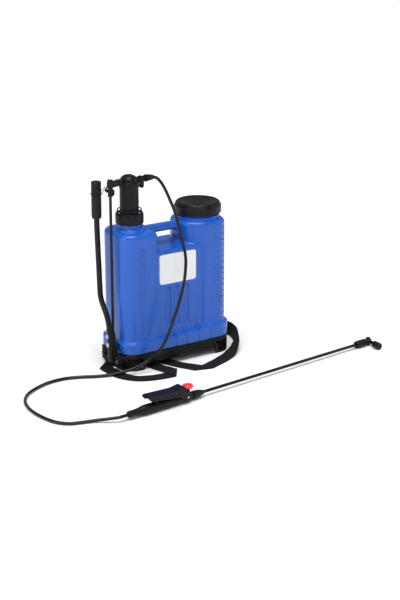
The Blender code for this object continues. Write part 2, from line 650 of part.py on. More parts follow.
def make_crank(paint, swing):
    axis = aim((0, SHAFT_Y, SHAFT_Z), (1, 0, 0))
    solid("crank_shaft", turned(rod(SHAFT_R, -0.2185, -0.1440), 16), paint["steel"], axis, swing)
    nut = solid("crank_nut", turned(rod(0.0105, -0.2180, -0.2140), 6), paint["steel"], axis, swing)
    cut(nut, solid("nut_hole", turned(rod(SHAFT_R + GAP, -0.23, -0.20), 16), paint["steel"], axis, swing))
    solid("shaft_clip", turned(sleeve(0.0063, 0.0100, -0.1480, -0.1465), 12), paint["steel"], axis, swing)
    bushes = (
        ("shaft_bush_outer", [(0.0063, -0.1994), (0.0105, -0.1994), (0.0105, -0.1978), (0.0085, -0.1978),
                              (0.0085, -0.1890), (0.0063, -0.1890)]),
        ("shaft_bush_inner", [(0.0063, -0.1590), (0.0085, -0.1590), (0.0085, -0.1497), (0.0105, -0.1497),
                              (0.0105, -0.1485), (0.0063, -0.1485)]),
    )
    for name, profile in bushes:
        solid(name, turned(profile, 16), paint["clear"], axis)


def crank_outline():
    """Plate outline in the lever's plane: round the shaft, out to the pin and up the lever."""
    points = []
    for degrees in range(150, 331, 30):
        angle = math.radians(degrees)
        points.append((SHAFT_Y + 0.0125 * math.cos(angle), SHAFT_Z + 0.0125 * math.sin(angle)))
    for degrees in (-60, -25, 10, 45):
        angle = math.radians(degrees)
        points.append((PIN_Y + 0.009 * math.cos(angle), PIN_Z + 0.009 * math.sin(angle)))
    points += [(-0.0270, 0.0850), (-0.0250, 0.1240), (-0.0470, 0.1240), (-0.0530, 0.0800)]
    return points


def make_lever(paint, swing):
    outline = crank_outline()
    plate = loft([[(x, y, z) for y, z in outline] for x in ARM_X])
    arm = solid("crank_arm", plate, paint["steel"], Matrix(), swing)
    holes = [(SHAFT_Y, SHAFT_Z, SHAFT_R), (PIN_Y, PIN_Z, PIN_R)]
    holes += [(-0.0385, 0.0860, 0.003), (-0.0360, 0.1130, 0.003)]
    for y, z, radius in holes:
        drill = turned(rod(radius + GAP, -0.01, 0.01), 12)
        cut(arm, solid("arm_hole", drill, paint["steel"], aim((ARM_X[0], y, z), (1, 0, 0)), swing))
    pin = [(0, -0.2138), (PIN_R, -0.2138), (PIN_R, -0.1992), (0, -0.1992)]
    solid("crank_pin", turned(pin, 16), paint["steel"], aim((0, PIN_Y, PIN_Z), (1, 0, 0)), swing)
    clip = turned(sleeve(PIN_R + GAP, 0.0065, -0.2006, -0.1996), 12)
    solid("pin_clip", clip, paint["steel"], aim((0, PIN_Y, PIN_Z), (1, 0, 0)), swing)
    route = smooth_route([(LEVER_X, y, z) for y, z in LEVER_ROUTE], 0.022)
    pipe = solid("lever_tube", bar_mesh(route, LEVER_R, 12), paint["paint"], Matrix(), swing)
    for name, (y, z, radius) in zip(("lever_bolt_low", "lever_bolt_high"), holes[2:]):
        frame = aim((0, y, z), (1, 0, 0))
        drill = turned(rod(radius + GAP, -0.24, -0.20), 12)
        cut(pipe, solid("bolt_hole", drill, paint["paint"], frame, swing))
        bolt = [
            (0, -0.2362), (0.0050, -0.2350), (0.0055, -0.2325), (radius, -0.2325), (radius, -0.2092),
            (0, -0.2092),
        ]
        solid(name, turned(bolt, 12), paint["steel"], frame, swing)
    low, high = GRIP_Z
    ribs = [(LEVER_R + GAP, low), (0.0132, low), (0.0147, low + 0.003), (0.0150, 0.528)]
    for z in (0.5300, 0.5470, 0.5640):
        ribs += [(GRIP_R, z), (GRIP_R, z + 0.0100), (GRIP_R - 0.001, z + 0.0120), (GRIP_R - 0.001, z + 0.0150)]
    ribs += [(GRIP_R, high - 0.002), (GRIP_R - 0.002, high), (0, high), (0, 0.5608), (LEVER_R + GAP, 0.5608)]
    top = ribs.index((0, high))
    ribs = ribs[top + 1:] + ribs[:top + 1]
    solid("lever_grip", turned(ribs, 16), paint["grip"], lever_lean(), swing)


def lever_lean():
    """Frame whose Z axis follows the straight top of the lever."""
    top = Vector((LEVER_X, *LEVER_ROUTE[-1]))
    below = Vector((LEVER_X, *LEVER_ROUTE[-2]))
    lean = aim((0, 0, 0), top - below)
    return Matrix.Translation(below - lean @ Vector((0, 0, below.z))) @ lean


def make_keeper(paint, keeper):
    """Wire loop round the grip whose far end rests over the clip's hook."""
    lean = lever_lean()
    radius = 0.0172
    points = []
    for degrees in range(-50, 231, 20):
        angle = math.radians(degrees)
        points.append(lean @ Vector((radius * math.cos(angle), radius * math.sin(angle), 0.5440)))
    hook = Vector((-0.2120, -0.0145, 0.5715))
    left, right = points[-1], points[0]
    points += [left.lerp(hook, 0.5), hook + Vector((-0.0035, 0.002, 0))]
    points += [hook + Vector((0, -0.0015, 0)), hook + Vector((0.0035, 0.002, 0)), right.lerp(hook, 0.5)]
    tube("lever_keeper", points, 0.0010, paint["steel"], keeper, 1, True)


def make_rod(paint, slide):
    eye_half = (SHAFT_Y + CRANK_R - PIN_Y) / 2 + PIN_R + 0.0006
    reach = eye_half + 0.0050
    plate = loft([[(x, y, z) for y, z in rounded(2 * reach, 0.0180, 0.0085, (ROD_Y, PIN_Z), 4)]
                  for x in (ROD_X - 0.003, ROD_X + 0.003)])
    eye = solid("connecting_rod", plate, paint["paint"], Matrix(), slide)
    shaft = turned(rod(ROD_R, PIN_Z + 0.007, ROD_TOP), 12)
    join(eye, solid("rod_shaft", shaft, paint["paint"], Matrix.Translation((ROD_X, ROD_Y, 0)), slide))
    slot = loft([[(x, y, z) for y, z in rounded(2 * eye_half, 0.0100, 0.0048, (ROD_Y, PIN_Z), 4)]
                 for x in (ROD_X - 0.01, ROD_X + 0.01)])
    cut(eye, solid("rod_slot", slot, paint["paint"], Matrix(), slide))


def make_clip(paint, slide):
    frame = Matrix.Translation((ROD_X, ROD_Y, 0))
    sheath = turned(sleeve(ROD_R + GAP, 0.0075, 0.5440, 0.5695), 16)
    clip = solid("rod_clip", sheath, paint["black"], frame, slide)
    wing = block((0.0055, -0.0045, 0.5460), (0.0125, 0.0045, 0.5640))
    stalk = block((-0.0120, 0.0030, 0.5560), (-0.0030, 0.0100, 0.5640))
    tip = block((-0.0120, 0.0060, 0.5600), (-0.0070, 0.0100, 0.5690))
    for name, part in (("clip_wing", wing), ("clip_stalk", stalk), ("clip_tip", tip)):
        join(clip, solid(name, part, paint["black"], frame, slide))


# ---------------------------------------------------------------- spray wand

def wand_frame():
    turn = Matrix.Rotation(WAND_TURN, 4, "Z") @ Matrix.Rotation(WAND_DIP, 4, "Y")
    return Matrix.Translation(WAND_TAIL) @ turn


def along(wand):
    """Frame whose Z axis runs along the wand, from its tail."""
    return wand @ Matrix.Rotation(math.pi / 2, 4, "Y")


def across(wand, s, z):
    """Frame on the wand's side axis, at s along it and z above it."""
    return wand @ Matrix.Translation((s, 0, z)) @ Matrix.Rotation(-math.pi / 2, 4, "X")


def make_valve(paint, wand, trigger, knob):
    line = along(wand)
    nut = [
        (0.0040, 0.0003), (0.0085, 0.0003), (0.0105, 0.0025), (0.0105, 0.0240), (0.0095, 0.0260),
        (0.0040, 0.0260),
    ]
    solid("handle_hose_nut", turned(nut, 20), paint["black"], line)
    shell = [
        (0, 0.0263), (0.0105, 0.0263), (0.0115, 0.0400), (BODY_R, 0.0560), (BODY_R, 0.1700),
        (0.0135, 0.1950), (0.0110, 0.2150), (0.0105, 0.2322), (0, 0.2322),
    ]
    body = solid("valve_body", turned(shell, 24), paint["black"], line)
    boss = turned(rod(BOSS_R, -0.0150, 0.0150), 24)
    join(body, solid("valve_boss", boss, paint["black"], across(wand, *PIVOT)))
    neck = turned(rod(0.0070, 0.010, 0.0272), 16)
    join(body, solid("knob_neck", neck, paint["black"], wand @ Matrix.Translation((0.2165, 0, 0))))
    bore = turned(rod(0.0085, 0.0200, 0.1560), 20)
    drill = turned(rod(0.0024 + GAP, -0.03, 0.03), 12)
    well = turned(rod(0.0033, -0.0100, 0.0200), 12)
    outlet = turned(rod(0.0030, 0.1500, 0.2400), 10)
    cut(body, solid("filter_bore", bore, paint["black"], line))
    cut(body, solid("outlet_bore", outlet, paint["black"], line))
    cut(body, solid("pivot_hole", drill, paint["black"], across(wand, *PIVOT)))
    cut(body, solid("stem_bore", well, paint["black"], wand @ Matrix.Translation((0.184, 0, 0))))
    solid("grip_filter", turned(sleeve(0.0060, 0.0078, 0.0300, 0.1400), 14), paint["clear"], line)
    make_trigger(paint, wand, trigger)
    dial = [(0, 0.0276), (0.0135, 0.0276), (0.0165, 0.0305), (0.0165, 0.0345), (0.0125, 0.0380), (0, 0.0385)]
    solid("lock_knob", turned(dial, 28), paint["red"], wand @ Matrix.Translation((0.2165, 0, 0)), knob)


def make_trigger(paint, wand, trigger):
    side = [
        (0.0610, 0.0365), (0.0665, 0.0428), (0.1600, 0.0378), (0.1965, 0.0440), (0.1985, 0.0300),
        (0.2150, 0.0150), (0.2175, 0.0050), (0.2090, -0.0050), (0.1980, -0.0040), (0.1780, 0.0080),
        (0.0935, 0.0190), (0.0915, 0.0130), (0.0885, 0.0130), (0.0850, 0.0195), (0.0735, 0.0210),
    ]
    blade = loft([[(s, n, z) for s, z in side] for n in (-0.0175, 0.0175)])
    lever = solid("trigger_lever", blade, paint["black"], wand, trigger)
    inner = [
        (0.0550, 0.0300), (0.0675, 0.0405), (0.1600, 0.0356), (0.1985, 0.0418), (0.2400, 0.0418),
        (0.2400, -0.0200), (0.0550, -0.0200),
    ]
    channel = loft([[(s, n, z) for s, z in inner] for n in (-0.0155, 0.0155)])
    cut(lever, solid("trigger_channel", channel, paint["black"], wand, trigger))
    hole = turned(rod(0.0024 + GAP, -0.03, 0.03), 12)
    cut(lever, solid("trigger_hole", hole, paint["black"], across(wand, *PIVOT), trigger))
    solid("trigger_pin", turned(rod(0.0024, -0.0185, 0.0185), 12), paint["steel"], across(wand, *PIVOT))


def make_stem(paint, wand, stem):
    frame = wand @ Matrix.Translation((0.184, 0, 0))
    shape = [(0, -0.0030), (0.0028, -0.0030), (0.0028, 0.0300), (0.0055, 0.0300), (0.0055, 0.0330)]
    shape += [(0.0028, 0.0335), (0.0028, 0.0385), (0, 0.0388)]
    solid("valve_stem", turned(shape, 12), paint["clear"], frame, stem)
    turns, steps = 4, 9
    points = []
    for i in range(turns * steps + 1):
        angle = 2 * math.pi * i / steps
        z = 0.0162 + 0.0125 * i / (turns * steps)
        points.append(frame @ Vector((0.0042 * math.cos(angle), 0.0042 * math.sin(angle), z)))
    tube("valve_spring", points, 0.0005, paint["steel"], None, 0)


def make_lance(paint, wand, swivel, dial):
    line = along(wand)
    nut = [
        (0.0108, 0.2326), (0.0125, 0.2340), (0.0125, 0.2450), (0.0110, 0.2580), (0.0062, 0.2759),
        (0.0046, 0.2759), (0.0046, 0.2450), (0.0108, 0.2440),
    ]
    solid("lance_nut", turned(nut, 24), paint["black"], line)
    pipe = turned(sleeve(0.0028, LANCE_R, *LANCE), 14)
    solid("lance_tube", pipe, paint["paint"], line)
    end_nut = [
        (0.0046, 0.9050), (0.0095, 0.9050), (0.0115, 0.9090), (0.0115, 0.9440), (0.0100, 0.9480),
        (0.0072, 0.9480), (0.0072, 0.9220), (0.0046, 0.9210),
    ]
    solid("nozzle_nut", turned(end_nut, 24), paint["black"], line)
    spout = Matrix.Translation(wand @ Vector((KNUCKLE, 0, 0))) @ Matrix.Rotation(math.pi / 2, 4, "X")
    knuckle = bmesh.new()
    bmesh.ops.create_uvsphere(knuckle, u_segments=16, v_segments=10, radius=0.0120)
    elbow = solid("nozzle_elbow", knuckle, paint["black"], spout, swivel)
    stub = turned(rod(0.0068, 0.9270, 0.9600), 14)
    neck = turned(rod(0.0056, 0.0, 0.0230), 14)
    join(elbow, solid("elbow_stub", stub, paint["black"], line, swivel))
    join(elbow, solid("elbow_neck", neck, paint["black"], spout, swivel))
    tip = [
        (0, 0.0233), (0.0056, 0.0233), (0.0056, 0.0285), (0.0078, 0.0290), (0.0078, 0.0480), (0, 0.0480),
    ]
    solid("nozzle_body", turned(tip, 16), paint["black"], spout, swivel)
    solid("swirl_disc", turned(rod(0.0070, 0.0483, 0.0503), 14), paint["clear"], spout, swivel)
    cup = [
        (0.0082, 0.0300), (0.0095, 0.0300), (0.0105, 0.0320), (0.0105, 0.0560), (0.0090, 0.0590),
        (0.0012, 0.0590), (0.0012, 0.0506), (0.0082, 0.0506),
    ]
    solid("nozzle_cap", turned(cup, 20), paint["black"], spout, dial)


# ---------------------------------------------------------------- hose and straps

def make_hose(paint):
    route = [Vector(HOSE_ROUTE[0])] + smooth_route(HOSE_ROUTE[1:], HOSE_STEP)
    tube("hose", route, HOSE_R, paint["hose"])


def stations(run, pieces=2):
    """Finer stations along one run of webbing."""
    fine = []
    for index in range(len(run) - 1):
        fine += [between(run, index, i / pieces) for i in range(pieces)]
    return fine + [run[-1]]


def fold_stations(fold):
    """The webbing turns over a slanted line and comes back as a second layer."""
    x, y, angle = fold[:3]
    return [(x, y, z, angle, 0) for z in (0.0013, 0.0029, 0.0045)]


def cross_line(angle, tilt):
    turn, rise = math.radians(angle), math.radians(tilt)
    flat = math.cos(rise)
    return Vector((math.cos(turn) * flat, math.sin(turn) * flat, math.sin(rise)))


def make_strap(name, out, fold, back, paint):
    fine = stations(out) + fold_stations(fold) + stations(back)
    centres = [Vector(row[:3]) for row in fine]
    rings = []
    for i, (x, y, z, angle, tilt) in enumerate(fine):
        line = cross_line(angle, tilt)
        before, after = centres[max(i - 1, 0)], centres[min(i + 1, len(fine) - 1)]
        ahead = (after - before).normalized()
        normal = ahead.cross(line).normalized() * WEB_THICK / 2
        half = line * WEB_HALF * (fold[3] if (x, y) == fold[:2] else 1)
        middle = centres[i]
        rings.append([middle - half - normal, middle + half - normal,
                      middle + half + normal, middle - half + normal])
    solid(name, loft(rings), paint["web"])


def make_straps(paint):
    make_strap("strap_left", LEFT_OUT, LEFT_FOLD, LEFT_BACK, paint)
    make_strap("strap_right", RIGHT_OUT, RIGHT_FOLD, RIGHT_BACK, paint)
    for name, side in (("left", -1), ("right", 1)):
        strap = bpy.data.objects["strap_" + name]
        frame = aim((0, STUD_Y, STUD_Z), (side, 0, 0))
        stud = [
            (0, 0.1700), (0.0040, 0.1700), (0.0040, 0.2012), (0.0090, 0.2016), (0.0095, 0.2045),
            (0.0080, 0.2080), (0, 0.2095),
        ]
        hole = turned(rod(0.0044, 0.195, 0.205), 12)
        cut(strap, solid("strap_hole", hole, paint["web"], frame))
        solid("strap_stud_" + name, turned(stud, 16), paint["black"], frame)
    bar = rounded(0.150, 0.024, 0.008, (0.010, 0.345), 3)
    plate = loft([[(x, y, z) for x, z in bar] for y in (TANK_DEPTH / 2 + GAP, 0.0880)])
    solid("strap_anchor", plate, paint["black"])


# ---------------------------------------------------------------- assembly

def clear_scene():
    for old in list(bpy.data.objects):
        bpy.data.objects.remove(old, do_unlink=True)


def main():
    clear_scene()
    paint = make_materials()
    wand = wand_frame()
    slide = pivot("pump_slide", Matrix.Translation((PUMP_X, 0, CHAMBER_BOTTOM)))
    swing = pivot("lever_pivot", Matrix.Translation((LEVER_X, SHAFT_Y, SHAFT_Z)))
    keeper = pivot("keeper_pivot", lever_lean() @ Matrix.Translation((0, 0, 0.5440)))
    lift = pivot("cap_lift", Matrix.Translation((FILLER_X, 0, NECK_TOP)))
    basket = pivot("basket_lift", Matrix.Translation((FILLER_X, 0, NECK_TOP)))
    screw = pivot("cap_turn", Matrix.Translation((FILLER_X, 0, NECK_TOP)))
    trigger = pivot("trigger_pivot", across(wand, *PIVOT))
    stem = pivot("stem_slide", wand @ Matrix.Translation((0.184, 0, 0)))
    knob = pivot("knob_turn", wand @ Matrix.Translation((0.2165, 0, 0.028)))
    swivel = pivot("nozzle_swivel", wand @ Matrix.Translation((KNUCKLE, 0, 0)))
    dial = pivot("nozzle_dial", wand @ Matrix.Translation((KNUCKLE, 0, 0)))
    keeper.parent = swing
    keeper.matrix_parent_inverse = swing.matrix_world.inverted()
    make_base(paint)
    make_tank(paint)
    make_label(paint)
    make_barrel(paint)
    make_chamber(paint, slide)
    make_head(paint, slide)
    make_outlet(paint, slide)
    make_strainer(paint, basket)
    make_cap(paint, lift, screw)
    make_crank(paint, swing)
    make_lever(paint, swing)
    make_keeper(paint, keeper)
    make_rod(paint, slide)
    make_clip(paint, slide)
    make_valve(paint, wand, trigger, knob)
    make_stem(paint, wand, stem)
    make_lance(paint, wand, swivel, dial)
    make_hose(paint)
    make_straps(paint)


main()
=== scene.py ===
"""Looks of the backpack sprayer: fine meshes and materials around its CAD frame, floor, lights, camera.

Metres, +Z up.  The label side of the tank faces -Y and the wearer's back is at +Y.  Most
moulded pieces are fields, functions that are negative inside a solid, turned into meshes.
"""

import json
import math

import bpy
import numpy as np
from mathutils import Matrix, Vector

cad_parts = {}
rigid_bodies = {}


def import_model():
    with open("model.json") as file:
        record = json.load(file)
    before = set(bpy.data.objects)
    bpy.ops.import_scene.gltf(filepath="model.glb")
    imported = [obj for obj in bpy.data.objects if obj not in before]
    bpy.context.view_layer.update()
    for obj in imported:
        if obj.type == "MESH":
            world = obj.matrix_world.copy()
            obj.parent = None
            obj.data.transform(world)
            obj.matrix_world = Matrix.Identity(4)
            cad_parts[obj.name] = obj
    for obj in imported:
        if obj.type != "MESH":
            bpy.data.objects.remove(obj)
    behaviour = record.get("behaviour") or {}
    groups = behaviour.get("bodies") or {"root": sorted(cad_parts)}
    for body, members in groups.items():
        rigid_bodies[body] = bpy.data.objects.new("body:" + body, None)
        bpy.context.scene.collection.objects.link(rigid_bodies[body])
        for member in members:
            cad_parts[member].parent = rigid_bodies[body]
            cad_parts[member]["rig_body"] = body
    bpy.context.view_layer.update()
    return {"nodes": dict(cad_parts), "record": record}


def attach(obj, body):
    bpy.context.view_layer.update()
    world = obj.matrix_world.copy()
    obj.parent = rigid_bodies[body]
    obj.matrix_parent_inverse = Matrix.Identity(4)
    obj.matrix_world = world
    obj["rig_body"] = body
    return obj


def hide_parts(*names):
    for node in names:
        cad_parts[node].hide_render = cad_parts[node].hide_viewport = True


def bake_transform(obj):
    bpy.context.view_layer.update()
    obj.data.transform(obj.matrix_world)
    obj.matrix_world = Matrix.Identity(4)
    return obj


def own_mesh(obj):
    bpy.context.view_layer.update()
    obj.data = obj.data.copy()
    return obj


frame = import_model()

# Camera
LENS = 90.0
CAMERA_TARGET = Vector((0.1191, -0.0149, 0.1593))
CAMERA_AZIMUTH = math.radians(-33.5)
CAMERA_ELEVATION = math.radians(18.5)
CAMERA_DISTANCE = 4.732

# Grid cells that the fields are meshed with
TANK_CELL = 0.002
BASE_CELL = 0.0016
BASKET_CELL = 0.0012
PART_CELL = 0.0009
SMALL_CELL = 0.0008
KNUCKLE_CELL = 0.0007
FINE_CELL = 0.0006

# Tank and base.  The CAD model has a 3 mm wall and both tower tops at 0.437.  The wall is nearly
# twice as thick here, because the meshed field shows marks on a thinner one; it isn't seen from outside.
BASE_TOP = 0.0515
ARCH_HEIGHT = 0.019
ARCH_HALF = 0.130
TANK_BOTTOM = 0.0520
TANK_HALF = (0.188, 0.080)
SKIRT_HALF = (0.1965, 0.089)
CORNER = 0.046
WALL = 0.0056
PANEL_Y = -0.072
LEFT_STEP_X = -0.070
PANEL_RIGHT_X = 0.091
PANEL_TOP = 0.386
PANEL_ARCH = 0.045
SADDLE_TOP = 0.364
LEFT_TOP = 0.4270
RIGHT_TOP = 0.4320
RIGHT_TOWER_X = 0.0375
NECK_TOP = 0.4689
TOWER_FOOT = 0.338
NECK_FOOT = 0.415
CARRY_Z = 0.4165
SKIRT_TOP = 0.0880
SKIRT_RISE = 0.0028
SKIRT_STEPS = (-0.0144, 0.0240, 0.0692, 0.1121)
CHANNELS = (-0.034, -0.003, 0.031)
LEVELS = (0.0908, 0.1829, 0.2725, 0.3676)

# Pump and filler
PUMP_X = -0.126
CHAMBER_R = 0.029
CHAMBER_TOP = 0.566
CHAMBER_BOTTOM = 0.345
HEAD_LOW = 0.5681
PORT_Z = 0.577
OUTLET_X = PUMP_X + 0.0338
FILLER_X = 0.120
CAP_R = 0.0735

# Lever linkage
SHAFT_Y = -0.064
SHAFT_Z = 0.039
PIN_Y = -0.0271
PIN_Z = 0.0648
ROD_X = -0.2042
ROD_Y = -0.0231
ROD_R = 0.0035
ROD_TOP = 0.588
ARM_X = (-0.2135, -0.2095)
LEVER_X = -0.2235
LEVER_R = 0.0085
LEVER_ROUTE = [
    (-0.0434, 0.034), (-0.0395, 0.075), (-0.0360, 0.115), (-0.0322, 0.148),
    (-0.0180, 0.178), (0.0050, 0.208), (0.0150, 0.228), (0.0180, 0.260),
    (0.0210, 0.320), (0.0266, 0.420), (0.0280, 0.466), (0.0276, 0.513), (0.0272, 0.560),
]
GRIP_Z = (0.469, 0.582)
GRIP_R = 0.0155

# Spray wand, measured along its own axis from the tail nut
WAND_TAIL = Vector((-0.3756, -0.3956, 0.0162))
WAND_TURN = math.radians(6.19)
WAND_DIP = math.radians(0.21)
BODY_R = 0.0148
PIVOT = (0.2055, 0.006)
KNOB_S = 0.2165
STEM_S = 0.184
LANCE_R = 0.0048
LANCE = (0.246, 0.918)
KNUCKLE = 0.9617

# Hose
HOSE_R = 0.0048
HOSE_ROUTE = [
    (-0.0555, 0.000, 0.5770), (-0.0400, 0.000, 0.5768), (-0.0290, -0.005, 0.5715),
    (-0.0210, -0.016, 0.5580), (-0.0160, -0.030, 0.5390), (-0.0120, -0.047, 0.5130),
    (-0.0090, -0.075, 0.4720), (-0.0060, -0.105, 0.3980), (-0.0030, -0.119, 0.3550),
    (-0.0070, -0.127, 0.3200), (-0.0170, -0.133, 0.2730), (-0.0340, -0.137, 0.2220),
    (-0.0530, -0.137, 0.1740), (-0.0730, -0.134, 0.1220), (-0.0920, -0.128, 0.0820),
    (-0.1220, -0.120, 0.0510), (-0.1580, -0.110, 0.0290), (-0.1870, -0.099, 0.0170),
    (-0.2150, -0.088, 0.0100), (-0.2480, -0.079, 0.0065), (-0.2870, -0.065, 0.0055),
    (-0.3330, -0.042, 0.0055), (-0.3800, -0.028, 0.0055), (-0.4350, -0.031, 0.0055),
    (-0.4900, -0.053, 0.0055), (-0.5310, -0.082, 0.0055), (-0.5590, -0.122, 0.0055),
    (-0.5730, -0.168, 0.0055), (-0.5760, -0.214, 0.0055), (-0.5710, -0.262, 0.0055),
    (-0.5580, -0.305, 0.0055), (-0.5330, -0.335, 0.0055), (-0.4980, -0.348, 0.0055),
    (-0.4620, -0.360, 0.0070), (-0.4330, -0.380, 0.0115), (-0.4070, -0.396, 0.0156),
    (-0.3900, -0.3972, 0.0163), (-0.3764, -0.3957, 0.0162),
]

# Webbing stations: x, y, z, then the compass angle and the upward tilt of the line across it.
# A fold: x, y, the angle of its crease, and how much longer than the webbing's width that is.
WEB_HALF = 0.023
WEB_THICK = 0.0016
STUD_Y = 0.034
STUD_Z = 0.035
LEFT_OUT = [
    (-0.1990, 0.054, 0.0330, 180, -90), (-0.1990, 0.034, 0.0330, 180, -90),
    (-0.1994, 0.023, 0.0290, 180, -88), (-0.2040, 0.014, 0.0240, 180, -74),
    (-0.2166, 0.003, 0.0150, 180, -34), (-0.2214, -0.010, 0.0016, 180, 0),
    (-0.2215, -0.040, 0.0013, 182, 0), (-0.2205, -0.075, 0.0013, 190, 0),
    (-0.2090, -0.112, 0.0013, 215, 0), (-0.1850, -0.142, 0.0013, 243, 0),
    (-0.1500, -0.158, 0.0013, 262, 0), (-0.1150, -0.165, 0.0013, 270, 0),
    (-0.0868, -0.167, 0.0013, 274, 0),
]
LEFT_FOLD = (-0.0660, -0.1655, 235, 1.29)
LEFT_BACK = [
    (-0.0718, -0.1453, 0.0045, 196, 0), (-0.0790, -0.118, 0.0030, 194, 0),
    (-0.0870, -0.088, 0.0013, 188, 0), (-0.0920, -0.045, 0.0013, 183, 0),
    (-0.0940, 0.000, 0.0013, 181, 0), (-0.0940, 0.050, 0.0013, 180, 0),
    (-0.0930, 0.088, 0.0016, 180, 0), (-0.0920, 0.104, 0.0060, 180, 0),
    (-0.0910, 0.1075, 0.0200, 180, 0), (-0.0880, 0.101, 0.0600, 180, 0),
    (-0.0780, 0.0955, 0.1200, 180, 0), (-0.0620, 0.0925, 0.2200, 180, 0),
    (-0.0450, 0.0900, 0.3200, 180, 0), (-0.0400, 0.0895, 0.3560, 180, 0),
]
RIGHT_OUT = [
    (0.1990, 0.014, 0.0330, 0, 90), (0.1990, 0.034, 0.0330, 0, 90),
    (0.1992, 0.047, 0.0320, 0, 90), (0.2060, 0.060, 0.0300, 90, 89),
    (0.2190, 0.067, 0.0285, 90, 88), (0.2350, 0.066, 0.0270, 60, 87),
    (0.2490, 0.056, 0.0255, 30, 86), (0.2570, 0.040, 0.0247, 10, 84),
    (0.2590, 0.018, 0.0245, -5, 82), (0.2540, -0.006, 0.0242, -15, 79),
    (0.2430, -0.032, 0.0232, -25, 73),
    (0.2240, -0.058, 0.0205, -36, 60), (0.1960, -0.091, 0.0140, -46, 35),
    (0.1600, -0.121, 0.0050, -54, 10), (0.1250, -0.140, 0.0013, -58, 0),
    (0.0850, -0.157, 0.0013, -59, 0), (0.0399, -0.1740, 0.0013, -58, 0),
]
RIGHT_FOLD = (0.0200, -0.1865, -15, 1.37)
RIGHT_BACK = [
    (0.0090, -0.1658, 0.0045, 28, 0), (-0.0060, -0.138, 0.0030, 27, 0),
    (-0.0190, -0.112, 0.0013, 22, 0), (-0.0310, -0.085, 0.0013, 14, 0),
    (-0.0410, -0.045, 0.0013, 6, 0), (-0.0430, 0.000, 0.0013, 1, 0),
    (-0.0420, 0.050, 0.0013, -2, 0), (-0.0380, 0.088, 0.0016, -3, 0),
    (-0.0360, 0.104, 0.0060, -3, 0), (-0.0340, 0.1075, 0.0200, -2, 0),
    (-0.0260, 0.101, 0.0600, 0, 0), (-0.0020, 0.0955, 0.1200, 0, 0),
    (0.0300, 0.0925, 0.2200, 0, 0), (0.0560, 0.0900, 0.3200, 0, 0),
    (0.0600, 0.0895, 0.3560, 0, 0),
]

PANEL = [(LEFT_STEP_X, 0.0), (PANEL_RIGHT_X, 0.0)]
for degrees in range(0, 91, 10):
    PANEL.append((
        PANEL_RIGHT_X - PANEL_ARCH + PANEL_ARCH * math.cos(math.radians(degrees)),
        PANEL_TOP - PANEL_ARCH + PANEL_ARCH * math.sin(math.radians(degrees)),
    ))
PANEL.append((LEFT_STEP_X, PANEL_TOP))

SLOT_OF = {row["node"]: row["material_slot"] for row in frame["record"]["subparts"]}
# These steel pieces are blackened, not bright
BLACKENED = (
    "crank_arm", "crank_nut", "crank_pin", "pin_clip", "crank_shaft", "shaft_clip", "lever_keeper",
)
for name in BLACKENED:
    SLOT_OF[name] = "painted_black"
SLOT_OF["shaft_bush_outer"] = "black_plastic"
PAINT = {}


# ---------------------------------------------------------------- camera, floor and light

def make_camera():
    data = bpy.data.cameras.new("camera")
    data.lens = LENS
    data.sensor_width = 36.0
    data.clip_end = 60.0
    camera = bpy.data.objects.new("camera", data)
    bpy.context.collection.objects.link(camera)
    back = Vector((
        math.sin(CAMERA_AZIMUTH) * math.cos(CAMERA_ELEVATION),
        -math.cos(CAMERA_AZIMUTH) * math.cos(CAMERA_ELEVATION),
        math.sin(CAMERA_ELEVATION),
    ))
    camera.location = CAMERA_TARGET + back * CAMERA_DISTANCE
    camera.rotation_euler = (-back).to_track_quat("-Z", "Y").to_euler()
    bpy.context.scene.camera = camera


def make_floor():
    mesh = bpy.data.meshes.new("floor")
    size = 30.0
    mesh.from_pydata([(-size, -size, 0), (size, -size, 0), (size, size, 0), (-size, size, 0)],
                     [], [(0, 1, 2, 3)])
    floor = bpy.data.objects.new("floor", mesh)
    bpy.context.collection.objects.link(floor)
    mesh.materials.append(floor_material())


def make_light(name, kind, energy, position, aim_at, **settings):
    data = bpy.data.lights.new(name, kind)
    data.energy = energy
    for key, value in settings.items():
        setattr(data, key, value)
    lamp = bpy.data.objects.new(name, data)
    lamp.location = position
    direction = Vector(aim_at) - Vector(position)
    lamp.rotation_euler = direction.to_track_quat("-Z", "Y").to_euler()
    bpy.context.collection.objects.link(lamp)


def make_lights():
    world = bpy.data.worlds.new("studio")
    world.use_nodes = True
    world.node_tree.nodes["Background"].inputs["Color"].default_value = (0.95, 0.97, 1.0, 1.0)
    world.node_tree.nodes["Background"].inputs["Strength"].default_value = 0.32
    bpy.context.scene.world = world
    bpy.context.scene.view_settings.view_transform = "Standard"
    middle = (0.0, 0.0, 0.25)
    make_light("top_sun", "SUN", 2.9, (-0.5, -0.5, 3.0), (0, 0, 0), angle=math.radians(50))
    boxes = (
        ("front_box", 9.0, (-0.6, -3.0, 1.9), 1.6, 1.2),
        ("left_box", 20.0, (-3.0, -0.3, 1.1), 0.9, 2.0),
        ("right_box", 8.0, (2.4, -1.2, 1.4), 0.6, 1.8),
    )
    for name, energy, place, wide, high in boxes:
        make_light(name, "AREA", energy, place, middle, shape="RECTANGLE", size=wide, size_y=high)


# ---------------------------------------------------------------- material nodes

def fresh(name):
    made = bpy.data.materials.new(name)
    made.use_nodes = True
    tree = made.node_tree
    return made, tree, tree.nodes["Principled BSDF"]


def node(tree, kind, inputs=(), **settings):
    """New shader node. Each input is a constant or another node's output socket."""
    made = tree.nodes.new("ShaderNode" + kind)
    for key, value in settings.items():
        setattr(made, key, value)
    for key, value in dict(inputs).items():
        if isinstance(value, bpy.types.NodeSocket):
            tree.links.new(value, made.inputs[key])
        else:
            made.inputs[key].default_value = value
    return made


